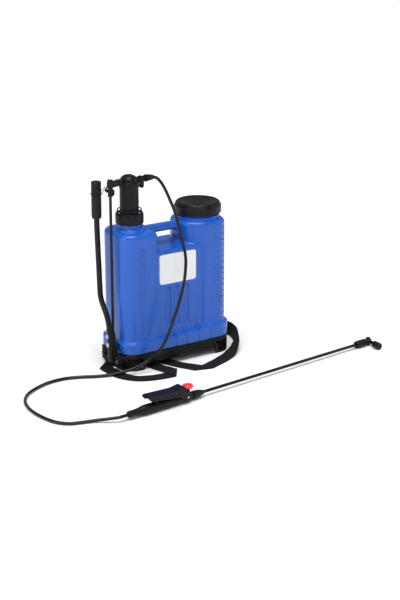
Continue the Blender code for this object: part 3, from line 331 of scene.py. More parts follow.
def speckle(tree, scale, detail=3.0, stretch=(1, 1, 1), contrast=0.5):
    """Noise fixed to the piece, finer along an axis with a larger stretch."""
    spot = node(tree, "TexCoord").outputs["Object"]
    spot = node(tree, "Mapping", {"Vector": spot, "Scale": stretch}).outputs["Vector"]
    inputs = {"Vector": spot, "Scale": scale, "Detail": detail, "Roughness": contrast}
    return node(tree, "TexNoise", inputs).outputs["Fac"]


def spread(tree, value, low, high, start=0.3, end=0.7):
    inputs = {"Value": value, "From Min": start, "From Max": end, "To Min": low, "To Max": high}
    return node(tree, "MapRange", inputs).outputs["Result"]


def shade(tree, value, dark, light, start=0.3, end=0.7):
    ramp = node(tree, "ValToRGB", {"Fac": value})
    stops = ramp.color_ramp.elements
    stops[0].position, stops[1].position = start, end
    stops[0].color, stops[1].color = (*dark, 1.0), (*light, 1.0)
    return ramp.outputs["Color"]


def raise_up(tree, shader, *layers):
    """Bump from several (height, distance) layers, one on another."""
    below = None
    for height, distance in layers:
        inputs = {"Height": height, "Distance": distance, "Strength": 1.0}
        if below:
            inputs["Normal"] = below
        below = node(tree, "Bump", inputs).outputs["Normal"]
    tree.links.new(below, shader.inputs["Normal"])


def plug(tree, value, shader, socket):
    tree.links.new(value, shader.inputs[socket])


def maths(tree, operation, first, second=0.0):
    made = tree.nodes.new("ShaderNodeMath")
    made.operation = operation
    for socket, value in zip(made.inputs, (first, second)):
        if isinstance(value, bpy.types.NodeSocket):
            tree.links.new(value, socket)
        else:
            socket.default_value = value
    return made.outputs["Value"]


def tank_material():
    """Blow-moulded polyethylene: faint vertical flow lines, slow waviness and small scuffs."""
    made, tree, shader = fresh("tank_blue")
    flow = speckle(tree, 26.0, 4.0, (1.0, 1.0, 0.10))
    cloud = speckle(tree, 7.0, 2.0)
    mixed = maths(tree, "MULTIPLY", maths(tree, "ADD", flow, cloud), 0.5)
    blue = shade(tree, mixed, (0.005, 0.090, 0.470), (0.008, 0.104, 0.530), 0.38, 0.62)
    plug(tree, blue, shader, "Base Color")
    scuff = spread(tree, speckle(tree, 160.0, 5.0, (1.0, 1.0, 0.5), 0.6), 0.0, 0.06, 0.58, 0.76)
    plug(tree, maths(tree, "ADD", spread(tree, flow, 0.26, 0.30), scuff), shader, "Roughness")
    shader.inputs["Specular IOR Level"].default_value = 0.5
    shader.inputs["Subsurface Weight"].default_value = 0.05
    shader.inputs["Subsurface Radius"].default_value = (0.002, 0.003, 0.010)
    orange_peel = speckle(tree, 420.0, 2.0)
    raise_up(tree, shader, (cloud, 0.0003), (orange_peel, 0.00004))
    return made


def black_material(name, dark, light, rough, grain, depth, coat):
    """Moulded black plastic: fine spark grain, cloudy gloss and thin rubbed scratches."""
    made, tree, shader = fresh(name)
    cloud = speckle(tree, 22.0, 3.0)
    fine = speckle(tree, grain, 2.0)
    plug(tree, shade(tree, cloud, dark, light), shader, "Base Color")
    scratch = spread(tree, speckle(tree, 90.0, 6.0, (1.0, 0.25, 0.25), 0.75), 0.0, 0.12, 0.60, 0.75)
    plug(tree, maths(tree, "ADD", spread(tree, cloud, *rough), scratch), shader, "Roughness")
    shader.inputs["Specular IOR Level"].default_value = 0.20
    shader.inputs["Coat Weight"].default_value = coat
    shader.inputs["Coat Roughness"].default_value = 0.25
    raise_up(tree, shader, (cloud, 0.0003), (fine, depth))
    return made


def steel_material():
    """Zinc-plated steel: brushed grain and dull cloudy patches."""
    made, tree, shader = fresh("bright_steel")
    brushed = speckle(tree, 300.0, 4.0, (1.0, 1.0, 0.06))
    cloud = speckle(tree, 60.0, 3.0)
    plug(tree, shade(tree, cloud, (0.34, 0.34, 0.35), (0.62, 0.61, 0.60)), shader, "Base Color")
    plug(tree, spread(tree, brushed, 0.22, 0.42), shader, "Roughness")
    shader.inputs["Metallic"].default_value = 1.0
    raise_up(tree, shader, (brushed, 0.00006))
    return made


def webbing_material():
    """Plain-woven polypropylene: ribs along the strap, picks across it, a selvedge; the colour holds painted
    shade, darker in the weave's hollows and at the selvedges.
    """
    made, tree, shader = fresh("webbing")
    split = node(tree, "SeparateXYZ", {"Vector": node(tree, "UVMap", uv_map="weave").outputs["UV"]})
    across, along = split.outputs["X"], split.outputs["Y"]
    rib_phase = maths(tree, "MULTIPLY", across, 2 * math.pi / 0.0023)
    pick_phase = maths(tree, "MULTIPLY", along, 2 * math.pi / 0.0036)
    rib = maths(tree, "SINE", rib_phase)
    pick = maths(tree, "SINE", pick_phase)
    checker = maths(tree, "MULTIPLY", rib, pick)
    yarn = maths(tree, "MULTIPLY", maths(tree, "COSINE", maths(tree, "MULTIPLY", rib_phase, 2.0)), 0.5)
    height = maths(tree, "ADD", checker, yarn)
    fuzz = speckle(tree, 700.0, 3.0)
    # Painted shade: the colour darkens near each edge of the strap, over its rounded selvedge
    edge = spread(tree, maths(tree, "ABSOLUTE", across), 0.0, 0.35, 0.0205, 0.0212)
    # Painted shade of the weave: colour follows the yarn relief, lighter on raised yarns and darker in the
    # hollows, with random fuzz tone on top
    lit = maths(tree, "SUBTRACT", maths(tree, "ADD", height, fuzz), edge)
    plug(tree, shade(tree, lit, (0.002, 0.002, 0.003), (0.010, 0.009, 0.013), 0.0, 1.0), shader, "Base Color")
    plug(tree, spread(tree, fuzz, 0.62, 0.86), shader, "Roughness")
    shader.inputs["Specular IOR Level"].default_value = 0.15
    shader.inputs["Sheen Weight"].default_value = 0.03
    shader.inputs["Sheen Roughness"].default_value = 0.5
    raise_up(tree, shader, (height, 0.00022), (fuzz, 0.00015))
    return made


def hose_material():
    """Glossy extruded hose: long faint die lines and light dust."""
    made, tree, shader = fresh("hose_rubber")
    cloud = speckle(tree, 30.0, 3.0)
    dust = speckle(tree, 800.0, 2.0)
    plug(tree, shade(tree, cloud, (0.004, 0.004, 0.005), (0.009, 0.009, 0.010)), shader, "Base Color")
    plug(tree, spread(tree, cloud, 0.13, 0.24), shader, "Roughness")
    shader.inputs["Specular IOR Level"].default_value = 0.34
    raise_up(tree, shader, (cloud, 0.0002), (dust, 0.00004))
    return made


def red_material():
    made, tree, shader = fresh("red_plastic")
    cloud = speckle(tree, 60.0, 3.0)
    plug(tree, shade(tree, cloud, (0.80, 0.018, 0.030), (0.95, 0.040, 0.055)), shader, "Base Color")
    plug(tree, spread(tree, cloud, 0.26, 0.38), shader, "Roughness")
    raise_up(tree, shader, (speckle(tree, 900.0, 2.0), 0.00006))
    return made


def label_material():
    """White film: hardly any tooth, a faint lift of the film over the tank's waviness."""
    made, tree, shader = fresh("label_film")
    cloud = speckle(tree, 14.0, 2.0)
    plug(tree, shade(tree, cloud, (0.82, 0.82, 0.84), (0.88, 0.88, 0.89)), shader, "Base Color")
    plug(tree, spread(tree, speckle(tree, 400.0, 3.0), 0.38, 0.50), shader, "Roughness")
    raise_up(tree, shader, (cloud, 0.0004), (speckle(tree, 1500.0, 2.0), 0.00003))
    return made


def natural_material():
    """Unpigmented translucent moulding."""
    made, tree, shader = fresh("natural_plastic")
    cloud = speckle(tree, 24.0, 3.0)
    plug(tree, shade(tree, cloud, (0.62, 0.61, 0.55), (0.74, 0.73, 0.68)), shader, "Base Color")
    plug(tree, spread(tree, cloud, 0.38, 0.52), shader, "Roughness")
    shader.inputs["Subsurface Weight"].default_value = 0.25
    shader.inputs["Subsurface Radius"].default_value = (0.004, 0.004, 0.003)
    raise_up(tree, shader, (speckle(tree, 500.0, 2.0), 0.00010))
    return made


def floor_material():
    made, tree, shader = fresh("studio_floor")
    cloud = speckle(tree, 2.0, 2.0)
    plug(tree, shade(tree, cloud, (0.90, 0.90, 0.90), (0.92, 0.92, 0.92)), shader, "Base Color")
    shader.inputs["Roughness"].default_value = 0.8
    shader.inputs["Specular IOR Level"].default_value = 0.1
    return made


# Dark and light colour, range of roughness, grain and its depth, clear coat
BLACKS = {
    "black_plastic":
        ((0.0035, 0.0034, 0.0040), (0.0070, 0.0066, 0.0080), (0.30, 0.42), 900.0, 0.00012, 0.0),
    "grip_black":
        ((0.008, 0.008, 0.011), (0.016, 0.015, 0.020), (0.46, 0.60), 1400.0, 0.0002, 0.0),
    "painted_black":
        ((0.0035, 0.0035, 0.0040), (0.0070, 0.0070, 0.0075), (0.24, 0.36), 500.0, 0.00008, 0.1),
    "seal_rubber":
        ((0.009, 0.009, 0.009), (0.017, 0.017, 0.017), (0.58, 0.74), 1200.0, 0.0002, 0.0),
}


def make_paint():
    PAINT["tank_blue"] = tank_material()
    for name, look in BLACKS.items():
        PAINT[name] = black_material(name, *look)
    PAINT["bright_steel"] = steel_material()
    PAINT["webbing"] = webbing_material()
    PAINT["hose_rubber"] = hose_material()
    PAINT["red_plastic"] = red_material()
    PAINT["label_film"] = label_material()
    PAINT["natural_plastic"] = natural_material()


# ---------------------------------------------------------------- frames and routes

def aim(point, direction):
    """A frame at point whose Z axis runs along direction."""
    turn = Vector((0, 0, 1)).rotation_difference(Vector(direction))
    return Matrix.Translation(Vector(point)) @ turn.to_matrix().to_4x4()


def wand_frame():
    turn = Matrix.Rotation(WAND_TURN, 4, "Z") @ Matrix.Rotation(WAND_DIP, 4, "Y")
    return Matrix.Translation(WAND_TAIL) @ turn


def along(wand):
    """Frame whose Z axis runs along the wand, from its tail."""
    return wand @ Matrix.Rotation(math.pi / 2, 4, "Y")


def lever_lean():
    """Frame whose Z axis follows the straight top of the lever."""
    top = Vector((LEVER_X, *LEVER_ROUTE[-1]))
    below = Vector((LEVER_X, *LEVER_ROUTE[-2]))
    lean = aim((0, 0, 0), top - below)
    return Matrix.Translation(below - lean @ Vector((0, 0, below.z))) @ lean


def between(points, index, share):
    """Catmull-Rom value between points[index] and the next one."""
    last = len(points) - 1
    p0, p1 = points[max(index - 1, 0)], points[index]
    p2, p3 = points[min(index + 1, last)], points[min(index + 2, last)]
    values = []
    for a, b, c, d in zip(p0, p1, p2, p3):
        slope = (c - a) * share
        bend = (2 * a - 5 * b + 4 * c - d) * share ** 2
        twist = (3 * b - a - 3 * c + d) * share ** 3
        values.append((2 * b + slope + bend + twist) / 2)
    return tuple(values)


def finer(points, pieces):
    """The same route with several points on each stretch."""
    fine = []
    for index in range(len(points) - 1):
        fine += [between(points, index, i / pieces) for i in range(pieces)]
    return fine + [points[-1]]


# ---------------------------------------------------------------- turned and swept meshes

def soften(profile, radius, closed=False, steps=3):
    """The profile with every corner rounded off; the ends of an open one stay."""
    points = [Vector(p) for p in profile]
    count = len(points)
    made = []
    for i, corner_point in enumerate(points):
        if not closed and i in (0, count - 1):
            made.append(tuple(corner_point))
            continue
        before = points[i - 1] - corner_point
        after = points[(i + 1) % count] - corner_point
        reach = min(radius, 0.45 * before.length, 0.45 * after.length)
        start = corner_point + before.normalized() * reach
        end = corner_point + after.normalized() * reach
        for k in range(steps + 1):
            t = k / steps
            made.append(tuple(start * (1 - t) ** 2 + corner_point * 2 * t * (1 - t) + end * t ** 2))
    return made


def turned(profile, radius=0.0006, segments=56, ripple=None):
    """Solid of revolution about Z with softened edges.

    A profile that stays off the axis closes on itself.  ripple(angle, radius, height) gives
    what to add to the radius there.
    """
    ring = profile[0][0] > 1e-7
    outline = soften(profile, radius, ring)
    points, faces, rows = [], [], []
    for r, z in outline:
        if r < 1e-7:
            rows.append([len(points)] * segments)
            points.append((0.0, 0.0, z))
            continue
        rows.append(list(range(len(points), len(points) + segments)))
        for i in range(segments):
            angle = 2 * math.pi * i / segments
            full = r + (ripple(angle, r, z) if ripple else 0.0)
            points.append((full * math.cos(angle), full * math.sin(angle), z))
    pairs = list(zip(rows, rows[1:]))
    if ring:
        pairs.append((rows[-1], rows[0]))
    for low, high in pairs:
        for i in range(segments):
            j = (i + 1) % segments
            corners = []
            for corner_index in (low[i], low[j], high[j], high[i]):
                if corner_index not in corners:
                    corners.append(corner_index)
            faces.append(corners)
    return outward(points, faces)


def flutes(count, depth, least, power=1):
    """Ripple for turned(): round grooves wherever the radius is above least."""
    def ripple(angle, radius, height):
        return -depth * (radius > least) * (0.5 + 0.5 * math.cos(count * angle)) ** power

    return ripple


def outward(points, faces):
    """Points and faces, with the faces turned round if they enclose a negative volume."""
    places = np.array(points)
    volume = 0.0
    for face in faces:
        a = places[face[0]]
        for i in range(1, len(face) - 1):
            volume += float(np.dot(a, np.cross(places[face[i]], places[face[i + 1]])))
    return points, faces if volume > 0 else [face[::-1] for face in faces]


def pipe(route, radius, sides=14, closed=False):
    """Round bar along a route, with domed ends when it is open."""
    path = [Vector(p) for p in route]
    count = len(path)
    points, faces = [], []
    side = None
    for i, spot in enumerate(path):
        before = path[i - 1] if closed or i else path[0]
        after = path[(i + 1) % count] if closed or i < count - 1 else path[-1]
        ahead = (after - before).normalized()
        if side is None:
            side = ahead.orthogonal().normalized()
        side = (side - ahead * side.dot(ahead)).normalized()
        other = ahead.cross(side)
        for k in range(sides):
            angle = 2 * math.pi * k / sides
            points.append(spot + radius * (math.cos(angle) * side + math.sin(angle) * other))
    for i in range(count if closed else count - 1):
        shift = 0
        if closed and i == count - 1:
            gaps = [(points[i * sides] - points[k]).length for k in range(sides)]
            shift = gaps.index(min(gaps))
        for k in range(sides):
            m = (k + 1) % sides
            row, nxt = i * sides, ((i + 1) % count) * sides
            faces.append([row + k, row + m, nxt + (m + shift) % sides, nxt + (k + shift) % sides])
    if not closed:
        ends = ((0, path[0], path[0] - path[1]), ((count - 1) * sides, path[-1], path[-1] - path[-2]))
        for row, spot, way in ends:
            points.append(spot + way.normalized() * radius * 0.25)
            for k in range(sides):
                faces.append([row + k, len(points) - 1, row + (k + 1) % sides][:: 1 if row else -1])
    return outward(points, faces)


def card(outline, low, high, edge):
    """Flat plate over an outline, with small rounded edges."""
    flat = [Vector(p) for p in outline]
    count = len(flat)
    inset = []
    for i, spot in enumerate(flat):
        run = (flat[(i + 1) % count] - flat[i - 1]).normalized()
        inset.append(spot + Vector((-run.y, run.x)) * edge)
    rings = []
    for ring, z in ((inset, low), (flat, low + edge), (flat, high - edge), (inset, high)):
        rings.append([(p.x, p.y, z) for p in ring])
    points = [p for ring in rings for p in ring]
    faces = [list(range(count))[::-1], list(range(3 * count, 4 * count))]
    for level in range(3):
        for i in range(count):
            j = (i + 1) % count
            row, nxt = level * count, (level + 1) * count
            faces.append([row + i, row + j, nxt + j, nxt + i])
    return outward(points, faces)


def rounded(width, depth, radius, centre=(0, 0), steps=8):
    """Rounded rectangle, counter-clockwise."""
    points = []
    for side_x, side_y, start in ((1, -1, -90), (1, 1, 0), (-1, 1, 90), (-1, -1, 180)):
        for i in range(steps + 1):
            angle = math.radians(start + 90 * i / steps)
            x = centre[0] + side_x * (width / 2 - radius) + radius * math.cos(angle)
            y = centre[1] + side_y * (depth / 2 - radius) + radius * math.sin(angle)
            points.append((x, y))
    return points


# ---------------------------------------------------------------- placing pieces

def mesh_of(name, points, faces):
    mesh = bpy.data.meshes.new(name)
    mesh.from_pydata([tuple(p) for p in points], [], faces)
    mesh.shade_smooth()
    return mesh


def show(node_name, shape, place=Matrix(), suffix="_fine", paint=None, stands=True):
    """Links a finished mesh that rides with a CAD node's body and, unless told not to, replaces it."""
    mesh = shape
    if not isinstance(shape, bpy.types.Mesh):
        mesh = mesh_of(node_name + suffix, *shape)
    mesh.materials.append(PAINT[paint or SLOT_OF[node_name]])
    piece = bpy.data.objects.new(node_name + suffix, mesh)
    bpy.context.collection.objects.link(piece)
    piece.matrix_world = place
    if not mesh.has_custom_normals:
        keep = piece.modifiers.new("Weighted normals", "WEIGHTED_NORMAL")
        keep.keep_sharp = True
    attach(piece, frame["nodes"][node_name]["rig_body"])
    if stands:
        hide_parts(node_name)
    return piece


# ---------------------------------------------------------------- fields

def corner(a, b, radius):
    """Overlap of two solids, its edge rounded off."""
    out = np.hypot(np.maximum(a + radius, 0.0), np.maximum(b + radius, 0.0))
    return np.minimum(np.maximum(a, b) + radius, 0.0) + out - radius


def fuse(a, b, radius):
    """Both solids, with a fillet of that radius between them."""
    return -corner(-a, -b, radius)


def less(a, b, radius):
    """The first solid without the second, the new edge rounded off."""
    return corner(a, -b, radius)


def disc(a, b, radius, at_a=0.0, at_b=0.0):
    return np.hypot(a - at_a, b - at_b) - radius


def slab(c, low, high):
    return np.abs(c - (low + high) / 2) - (high - low) / 2


def plate(a, b, half_a, half_b, radius, at_a=0.0, at_b=0.0):
    """Rounded rectangle."""
    out_a = np.abs(a - at_a) - half_a + radius
    out_b = np.abs(b - at_b) - half_b + radius
    outside = np.hypot(np.maximum(out_a, 0.0), np.maximum(out_b, 0.0))
    return outside + np.minimum(np.maximum(out_a, out_b), 0.0) - radius


def stack(side, c, low, high, edge):
    """Solid over an outline, between two levels, with rounded edges."""
    return corner(side, slab(c, low, high), edge)


def polygon(a, b, points):
    """Signed distance to a closed outline."""
    nearest, sign = np.inf, 1.0
    for (a0, b0), (a1, b1) in zip(points, points[1:] + points[:1]):
        run_a, run_b = a1 - a0, b1 - b0
        off_a, off_b = a - a0, b - b0
        share = np.clip((off_a * run_a + off_b * run_b) / (run_a ** 2 + run_b ** 2), 0.0, 1.0)
        nearest = np.minimum(nearest, (off_a - run_a * share) ** 2 + (off_b - run_b * share) ** 2)
        above, below, left = b >= b0, b < b1, run_a * off_b > run_b * off_a
        sign = np.where((above & below & left) | (~above & ~below & ~left), -sign, sign)
    return sign * np.sqrt(nearest)


def ease(value, start, end):
    """0 before start, 1 after end, smooth between."""
    share = np.clip((value - start) / (end - start), 0.0, 1.0)
    return share * share * (3 - 2 * share)


def slope(field, spots, step):
    """Direction in which the field grows, at each spot."""
    columns = []
    for axis in range(3):
        shift = np.zeros(3)
        shift[axis] = step
        ahead, behind = field(*(spots + shift).T), field(*(spots - shift).T)
        columns.append((ahead - behind) / (2 * step))
    return np.stack(columns, axis=1)


def settle(field, spots, cell, rounds=3):
    """Moves points onto the surface, and gives the outward direction there."""
    for _ in range(rounds):
        grow = slope(field, spots, cell * 0.2)
        size = np.maximum(np.linalg.norm(grow, axis=1), 1e-6)
        move = np.clip(field(*spots.T) / size, -0.5 * cell, 0.5 * cell)
        spots = spots - grow * (move / size)[:, None]
    grow = slope(field, spots, cell * 0.2)
    return spots, grow / np.maximum(np.linalg.norm(grow, axis=1), 1e-6)[:, None]


def net(field, low, high, cell):
    """Closed net of quads round the solid: one point in each cell that the surface crosses."""
    axes = [np.arange(a - 2 * cell, b + 3 * cell, cell) for a, b in zip(low, high)]
    shape = tuple(len(axis) for axis in axes)
    value = np.broadcast_to(field(*np.meshgrid(*axes, indexing="ij", sparse=True)), shape)
    inside = value < 0
    cells, places = [], []
    for axis in range(3):
        near = [slice(None)] * 3
        far = [slice(None)] * 3
        near[axis], far[axis] = slice(None, -1), slice(1, None)
        near, far = tuple(near), tuple(far)
        crossing = np.argwhere(inside[near] != inside[far])
        index = tuple(crossing.T)
        first, second = value[near][index], value[far][index]
        place = crossing.astype(float)
        place[:, axis] += first / (first - second)
        b, c = (axis + 1) % 3, (axis + 2) % 3
        around = []
        for step_b, step_c in ((-1, -1), (0, -1), (0, 0), (-1, 0)):
            one = crossing.copy()
            one[:, b] += step_b
            one[:, c] += step_c
            around.append(np.ravel_multi_index(tuple(one.T), shape))
        ring = np.stack(around, axis=1)
        backward = ~inside[near][index]
        ring[backward] = ring[backward][:, ::-1]
        cells.append(ring)
        places.append(place)
    ring, place = np.concatenate(cells), np.concatenate(places)
    _, quads = np.unique(ring.ravel(), return_inverse=True)
    count = np.bincount(quads)
    spots = np.empty((len(count), 3))
    for axis in range(3):
        total = np.bincount(quads, weights=np.repeat(place[:, axis], 4))
        spots[:, axis] = axes[axis][0] + cell * total / count
    return spots, quads.reshape(-1, 4)


def skin(name, field, low, high, cell, keep=0.35):
    """Mesh of a field, thinned out where it is flat, with exact normals."""
    spots, quads = net(field, low, high, cell)
    spots, _ = settle(field, spots, cell)
    rough = bpy.data.meshes.new(name)
    rough.from_pydata(spots.tolist(), [], quads.tolist())
    holder = bpy.data.objects.new(name, rough)
    bpy.context.collection.objects.link(holder)
    thin = holder.modifiers.new("Thin", "DECIMATE")
    thin.ratio = keep
    held = holder.evaluated_get(bpy.context.evaluated_depsgraph_get())
    mesh = bpy.data.meshes.new_from_object(held)
    bpy.data.objects.remove(holder)
    flat = np.empty(len(mesh.vertices) * 3, np.float32)
    mesh.vertices.foreach_get("co", flat)
    spots, normals = settle(field, flat.reshape(-1, 3).astype(float), cell, 2)
    mesh.vertices.foreach_set("co", spots.astype(np.float32).ravel())
    mesh.update()
    mesh.shade_smooth()
    mesh.normals_split_custom_set_from_vertices(normals.tolist())
    return mesh


# ---------------------------------------------------------------- tank and base

def tank_outside(x, y, z):
    whole = plate(x, y, *TANK_HALF, CORNER)
    saddle = stack(whole, z, 0.058, SADDLE_TOP, 0.010)
    left = stack(corner(whole, x - LEFT_STEP_X, 0.018), z, TOWER_FOOT, LEFT_TOP, 0.013)
    round_side = plate(x, y, 0.120, TANK_HALF[1], 0.070, RIGHT_TOWER_X + 0.120)
    right = stack(corner(whole, round_side, 0.0005), z, TOWER_FOOT, RIGHT_TOP, 0.013)
    seam = 0.0005 + 0.0100 * ease(-whole, 0.004, 0.016)
    body = fuse(fuse(saddle, left, seam), right, seam)
    panel = stack(polygon(x, z, PANEL), y, -0.200, PANEL_Y, 0.005)
    body = less(body, panel, 0.0065)
    top = SKIRT_TOP + sum(SKIRT_RISE * ease(x, step, step + 0.003) for step in SKIRT_STEPS)
    skirt = stack(plate(x, y, *SKIRT_HALF, 0.050), z, TANK_BOTTOM, top, 0.005)
    body = fuse(body, skirt, 0.006)
    grip = stack(plate(y, z, 0.017, 0.0115, 0.010, 0.0, CARRY_Z), x, -0.085, 0.065, 0.001)
    body = fuse(body, grip, 0.008)
    for at, ring, neck, level in ((PUMP_X, 0.050, 0.0385, 0.4345), (FILLER_X, 0.0680, 0.0635, 0.4420)):
        body = fuse(body, stack(disc(x, y, ring, at), z, NECK_FOOT, level, 0.004), 0.004)
        body = fuse(body, stack(disc(x, y, neck, at), z, NECK_FOOT, NECK_TOP, 0.0012), 0.002)
    return body + tank_grooves(x, y, z)


def groove(x, z, at, half, low, high, lip):
    """1 inside an upright recess with round ends, 0 outside it."""
    inside = -plate(x, z, half, (high - low) / 2, half * 0.9, at, (low + high) / 2)
    return ease(inside, 0.0, lip)


def tank_grooves(x, y, z):
    """How deep the recesses of the front go."""
    depth = 0.0034 * groove(x, z, -0.1290, 0.0110, 0.103, 0.383, 0.0042)
    for at in CHANNELS:
        depth = depth + 0.0048 * groove(x, z, at, 0.0115, 0.113, 0.246, 0.0045)
    for step in SKIRT_STEPS:
        depth = depth + 0.0024 * np.exp(-((x - step) / 0.0020) ** 2) * (1 - ease(z, 0.090, 0.097))
    return depth * (1 - ease(y, -0.055, -0.045))


def tank_field(x, y, z):
    outside = tank_outside(x, y, z)
    hollow = outside + WALL
    for at, bore in ((PUMP_X, 0.0355), (FILLER_X, 0.0600)):
        hollow = np.minimum(hollow, corner(disc(x, y, bore, at), slab(z, 0.424, 0.520), 0.001))
    return less(outside, hollow, 0.0008)


def make_tank():
    mesh = skin("tank_shell", tank_field, (-0.1965, -0.089, 0.052), (0.1965, 0.089, 0.469), TANK_CELL, 0.34)
    show("tank", mesh)
    make_level_marks()
    outline = rounded(0.132, 0.094, 0.009, (0.0, 0.303))
    place = Matrix.Translation((0, PANEL_Y - 0.0003, 0)) @ Matrix.Rotation(math.pi / 2, 4, "X")
    show("front_label", card(outline, 0.0, 0.0004, 0.00015), place)


def make_level_marks():
    """Dark strokes round the right front corner, painted shadows of the raised level marks: a long one every
    5 litres, four short between.
    """
    points, faces = [], []
    spacing = (LEVELS[-1] - LEVELS[0]) / 15
    for i in range(20):
        height = LEVELS[0] + spacing * (i - 2)
        reach = 60 if i % 5 == 2 else 46
        steps = 12
        start = len(points)
        for k in range(steps + 1):
            share = k / steps
            angle = math.radians(-18 - reach * share)
            drop = -0.0045 * share + 0.0060 * ease(share, 0.65, 1.0)
            half = 0.0017 * (1 - 0.5 * abs(2 * share - 1) ** 3)
            for radius in (CORNER - 0.0006, CORNER + 0.00025):
                for side in (-half, half):
                    x = TANK_HALF[0] - CORNER + radius * math.cos(angle)
                    y = CORNER - TANK_HALF[1] + radius * math.sin(angle)
                    points.append((x, y, height + drop + side))
        for k in range(steps):
            row, nxt = start + 4 * k, start + 4 * k + 4
            for a, b in ((0, 1), (1, 3), (3, 2), (2, 0)):
                faces.append([row + a, row + b, nxt + b, nxt + a])
        faces.append([start, start + 2, start + 3, start + 1])
        end = start + 4 * steps
        faces.append([end, end + 1, end + 3, end + 2])
    # Painted shadow: dark seal_rubber strokes on the tank in place of the shade of the raised marks
    show("tank", outward(points, faces), suffix="_level_mark_shadows", paint="seal_rubber", stands=False)


def base_field(x, y, z):
    outside = stack(plate(x, y, 0.196, 0.088, 0.050), z, 0.0, BASE_TOP, 0.004)
    inside = corner(plate(x, y, 0.191, 0.083, 0.045), z - (BASE_TOP - 0.004), 0.004)
    body = less(outside, inside, 0.001)
    arch = corner(np.abs(x) - ARCH_HALF + 0.4 * (z - 0.004), z - ARCH_HEIGHT, 0.010)
    body = less(body, arch, 0.0015)
    foot = stack(disc(x, y, 0.012), z, 0.0, BASE_TOP - 0.002, 0.001)
    body = fuse(body, foot, 0.002)
    foot = stack(disc(np.abs(x), np.abs(y), 0.011, 0.168, 0.066), z, 0.0008, BASE_TOP - 0.002, 0.001)
    body = fuse(body, foot, 0.002)
    tube = stack(disc(y, z, 0.012, SHAFT_Y, SHAFT_Z), x, -0.1975, -0.150, 0.001)
    body = fuse(body, tube, 0.002)
    bore = stack(disc(y, z, 0.0088, SHAFT_Y, SHAFT_Z), x, -0.210, -0.130, 0.001)
    pocket = stack(disc(y, z, 0.0112, SHAFT_Y, SHAFT_Z), x, -0.150, -0.142, 0.001)
    body = less(less(body, bore, 0.0008), pocket, 0.0008)
    return body + base_pockets(x, y, z)


def base_pockets(x, y, z):
    """Hollows between upright ribs round the two front corners."""
    turn = np.degrees(np.arctan2(y + 0.038, np.abs(x) - 0.146))
    rib = np.abs((turn + 97.0) % 22.0 - 11.0)
    reach = ease(turn, -112.0, -106.0) * (1 - ease(turn, 14.0, 20.0))
    depth = 0.0030 * ease(rib, 2.2, 4.4) * reach
    depth = depth * ease(z, 0.006, 0.010) * (1 - ease(z, 0.036, 0.040))
    outer = plate(x, y, 0.196, 0.088, 0.050)
    return depth * ease(outer, -0.0045, -0.0035)


def make_base():
    mesh = skin("base_shell", base_field, (-0.198, -0.089, 0.0), (0.197, 0.089, BASE_TOP), BASE_CELL, 0.3)
    show("base", mesh)


# ---------------------------------------------------------------- pump

def crown_field(x, y, z):
    """Thin ring on six posts above the collar."""
    radial = np.hypot(x, y)
    ring = plate(radial, z, 0.00175, 0.0016, 0.0012, 0.03625, 0.4884)
    turn = (np.arctan2(y, x) % (math.pi / 3)) - math.pi / 6
    foot = plate(radial * np.cos(turn), radial * np.sin(turn), 0.0015, 0.0022, 0.0008, 0.0363)
    post = stack(foot, z, 0.4785, 0.4880, 0.0005)
    return fuse(ring, post, 0.0010)


def make_collar():
    nut = [
        (0.0400, 0.4457), (0.0430, 0.4475), (0.0433, 0.4740), (0.0405, 0.4800), (0.0345, 0.4800),
        (0.0345, 0.4760), (0.0410, 0.4760), (0.0410, 0.4680), (0.0390, 0.4650), (0.0390, 0.4457),
    ]

    def ribs(angle, radius, height):
        fade = float(ease(radius, 0.0415, 0.0430)) * (1 - float(ease(height, 0.468, 0.474)))
        return -0.0007 * fade * (0.5 - 0.5 * math.cos(32 * angle)) ** 3

    place = Matrix.Translation((PUMP_X, 0, 0))
    show("collar_nut", turned(nut, 0.0012, 192, ribs), place)
    crown = skin("crown", crown_field, (-0.039, -0.039, 0.4785), (0.039, 0.039, 0.490), SMALL_CELL, 0.4)
    show("collar_nut", crown, place, suffix="_crown", stands=False)


def make_chamber():
    wall = 0.0025
    inner = CHAMBER_R - wall
    shell = [
        (0.0095, CHAMBER_BOTTOM), (CHAMBER_R, CHAMBER_BOTTOM), (CHAMBER_R, 0.400), (CHAMBER_R, 0.450),
        (CHAMBER_R, 0.500), (CHAMBER_R, 0.5520), (CHAMBER_R - 0.0008, 0.5528), (CHAMBER_R - 0.0008, 0.5540),
        (CHAMBER_R, 0.5548), (CHAMBER_R, CHAMBER_TOP), (inner, CHAMBER_TOP),
        (inner, CHAMBER_BOTTOM + wall), (0.0095, CHAMBER_BOTTOM + wall),
    ]

    def fluting(angle, radius, height):
        fade = float(ease(height, 0.350, 0.356)) * (1 - float(ease(height, 0.5518, 0.5522)))
        return -0.0005 * fade * (0.5 + 0.5 * math.cos(26 * angle)) * (radius > 0.028)

    place = Matrix.Translation((PUMP_X, 0, 0))
    show("air_chamber", turned(shell, 0.0005, 156, fluting), place)
    band = [
        (CHAMBER_R - 0.001, 0.5560), (0.0298, 0.5560), (0.0298, CHAMBER_TOP),
        (CHAMBER_R - 0.001, CHAMBER_TOP),
    ]
    show("air_chamber", turned(band, 0.0003, 72), place, suffix="_band", paint="grip_black", stands=False)
    seal = [
        (0.0270, CHAMBER_TOP + 0.0003), (0.0292, CHAMBER_TOP + 0.0003), (0.0292, 0.5678), (0.0270, 0.5678),
    ]
    show("head_gasket", turned(seal, 0.0003, 72), place)


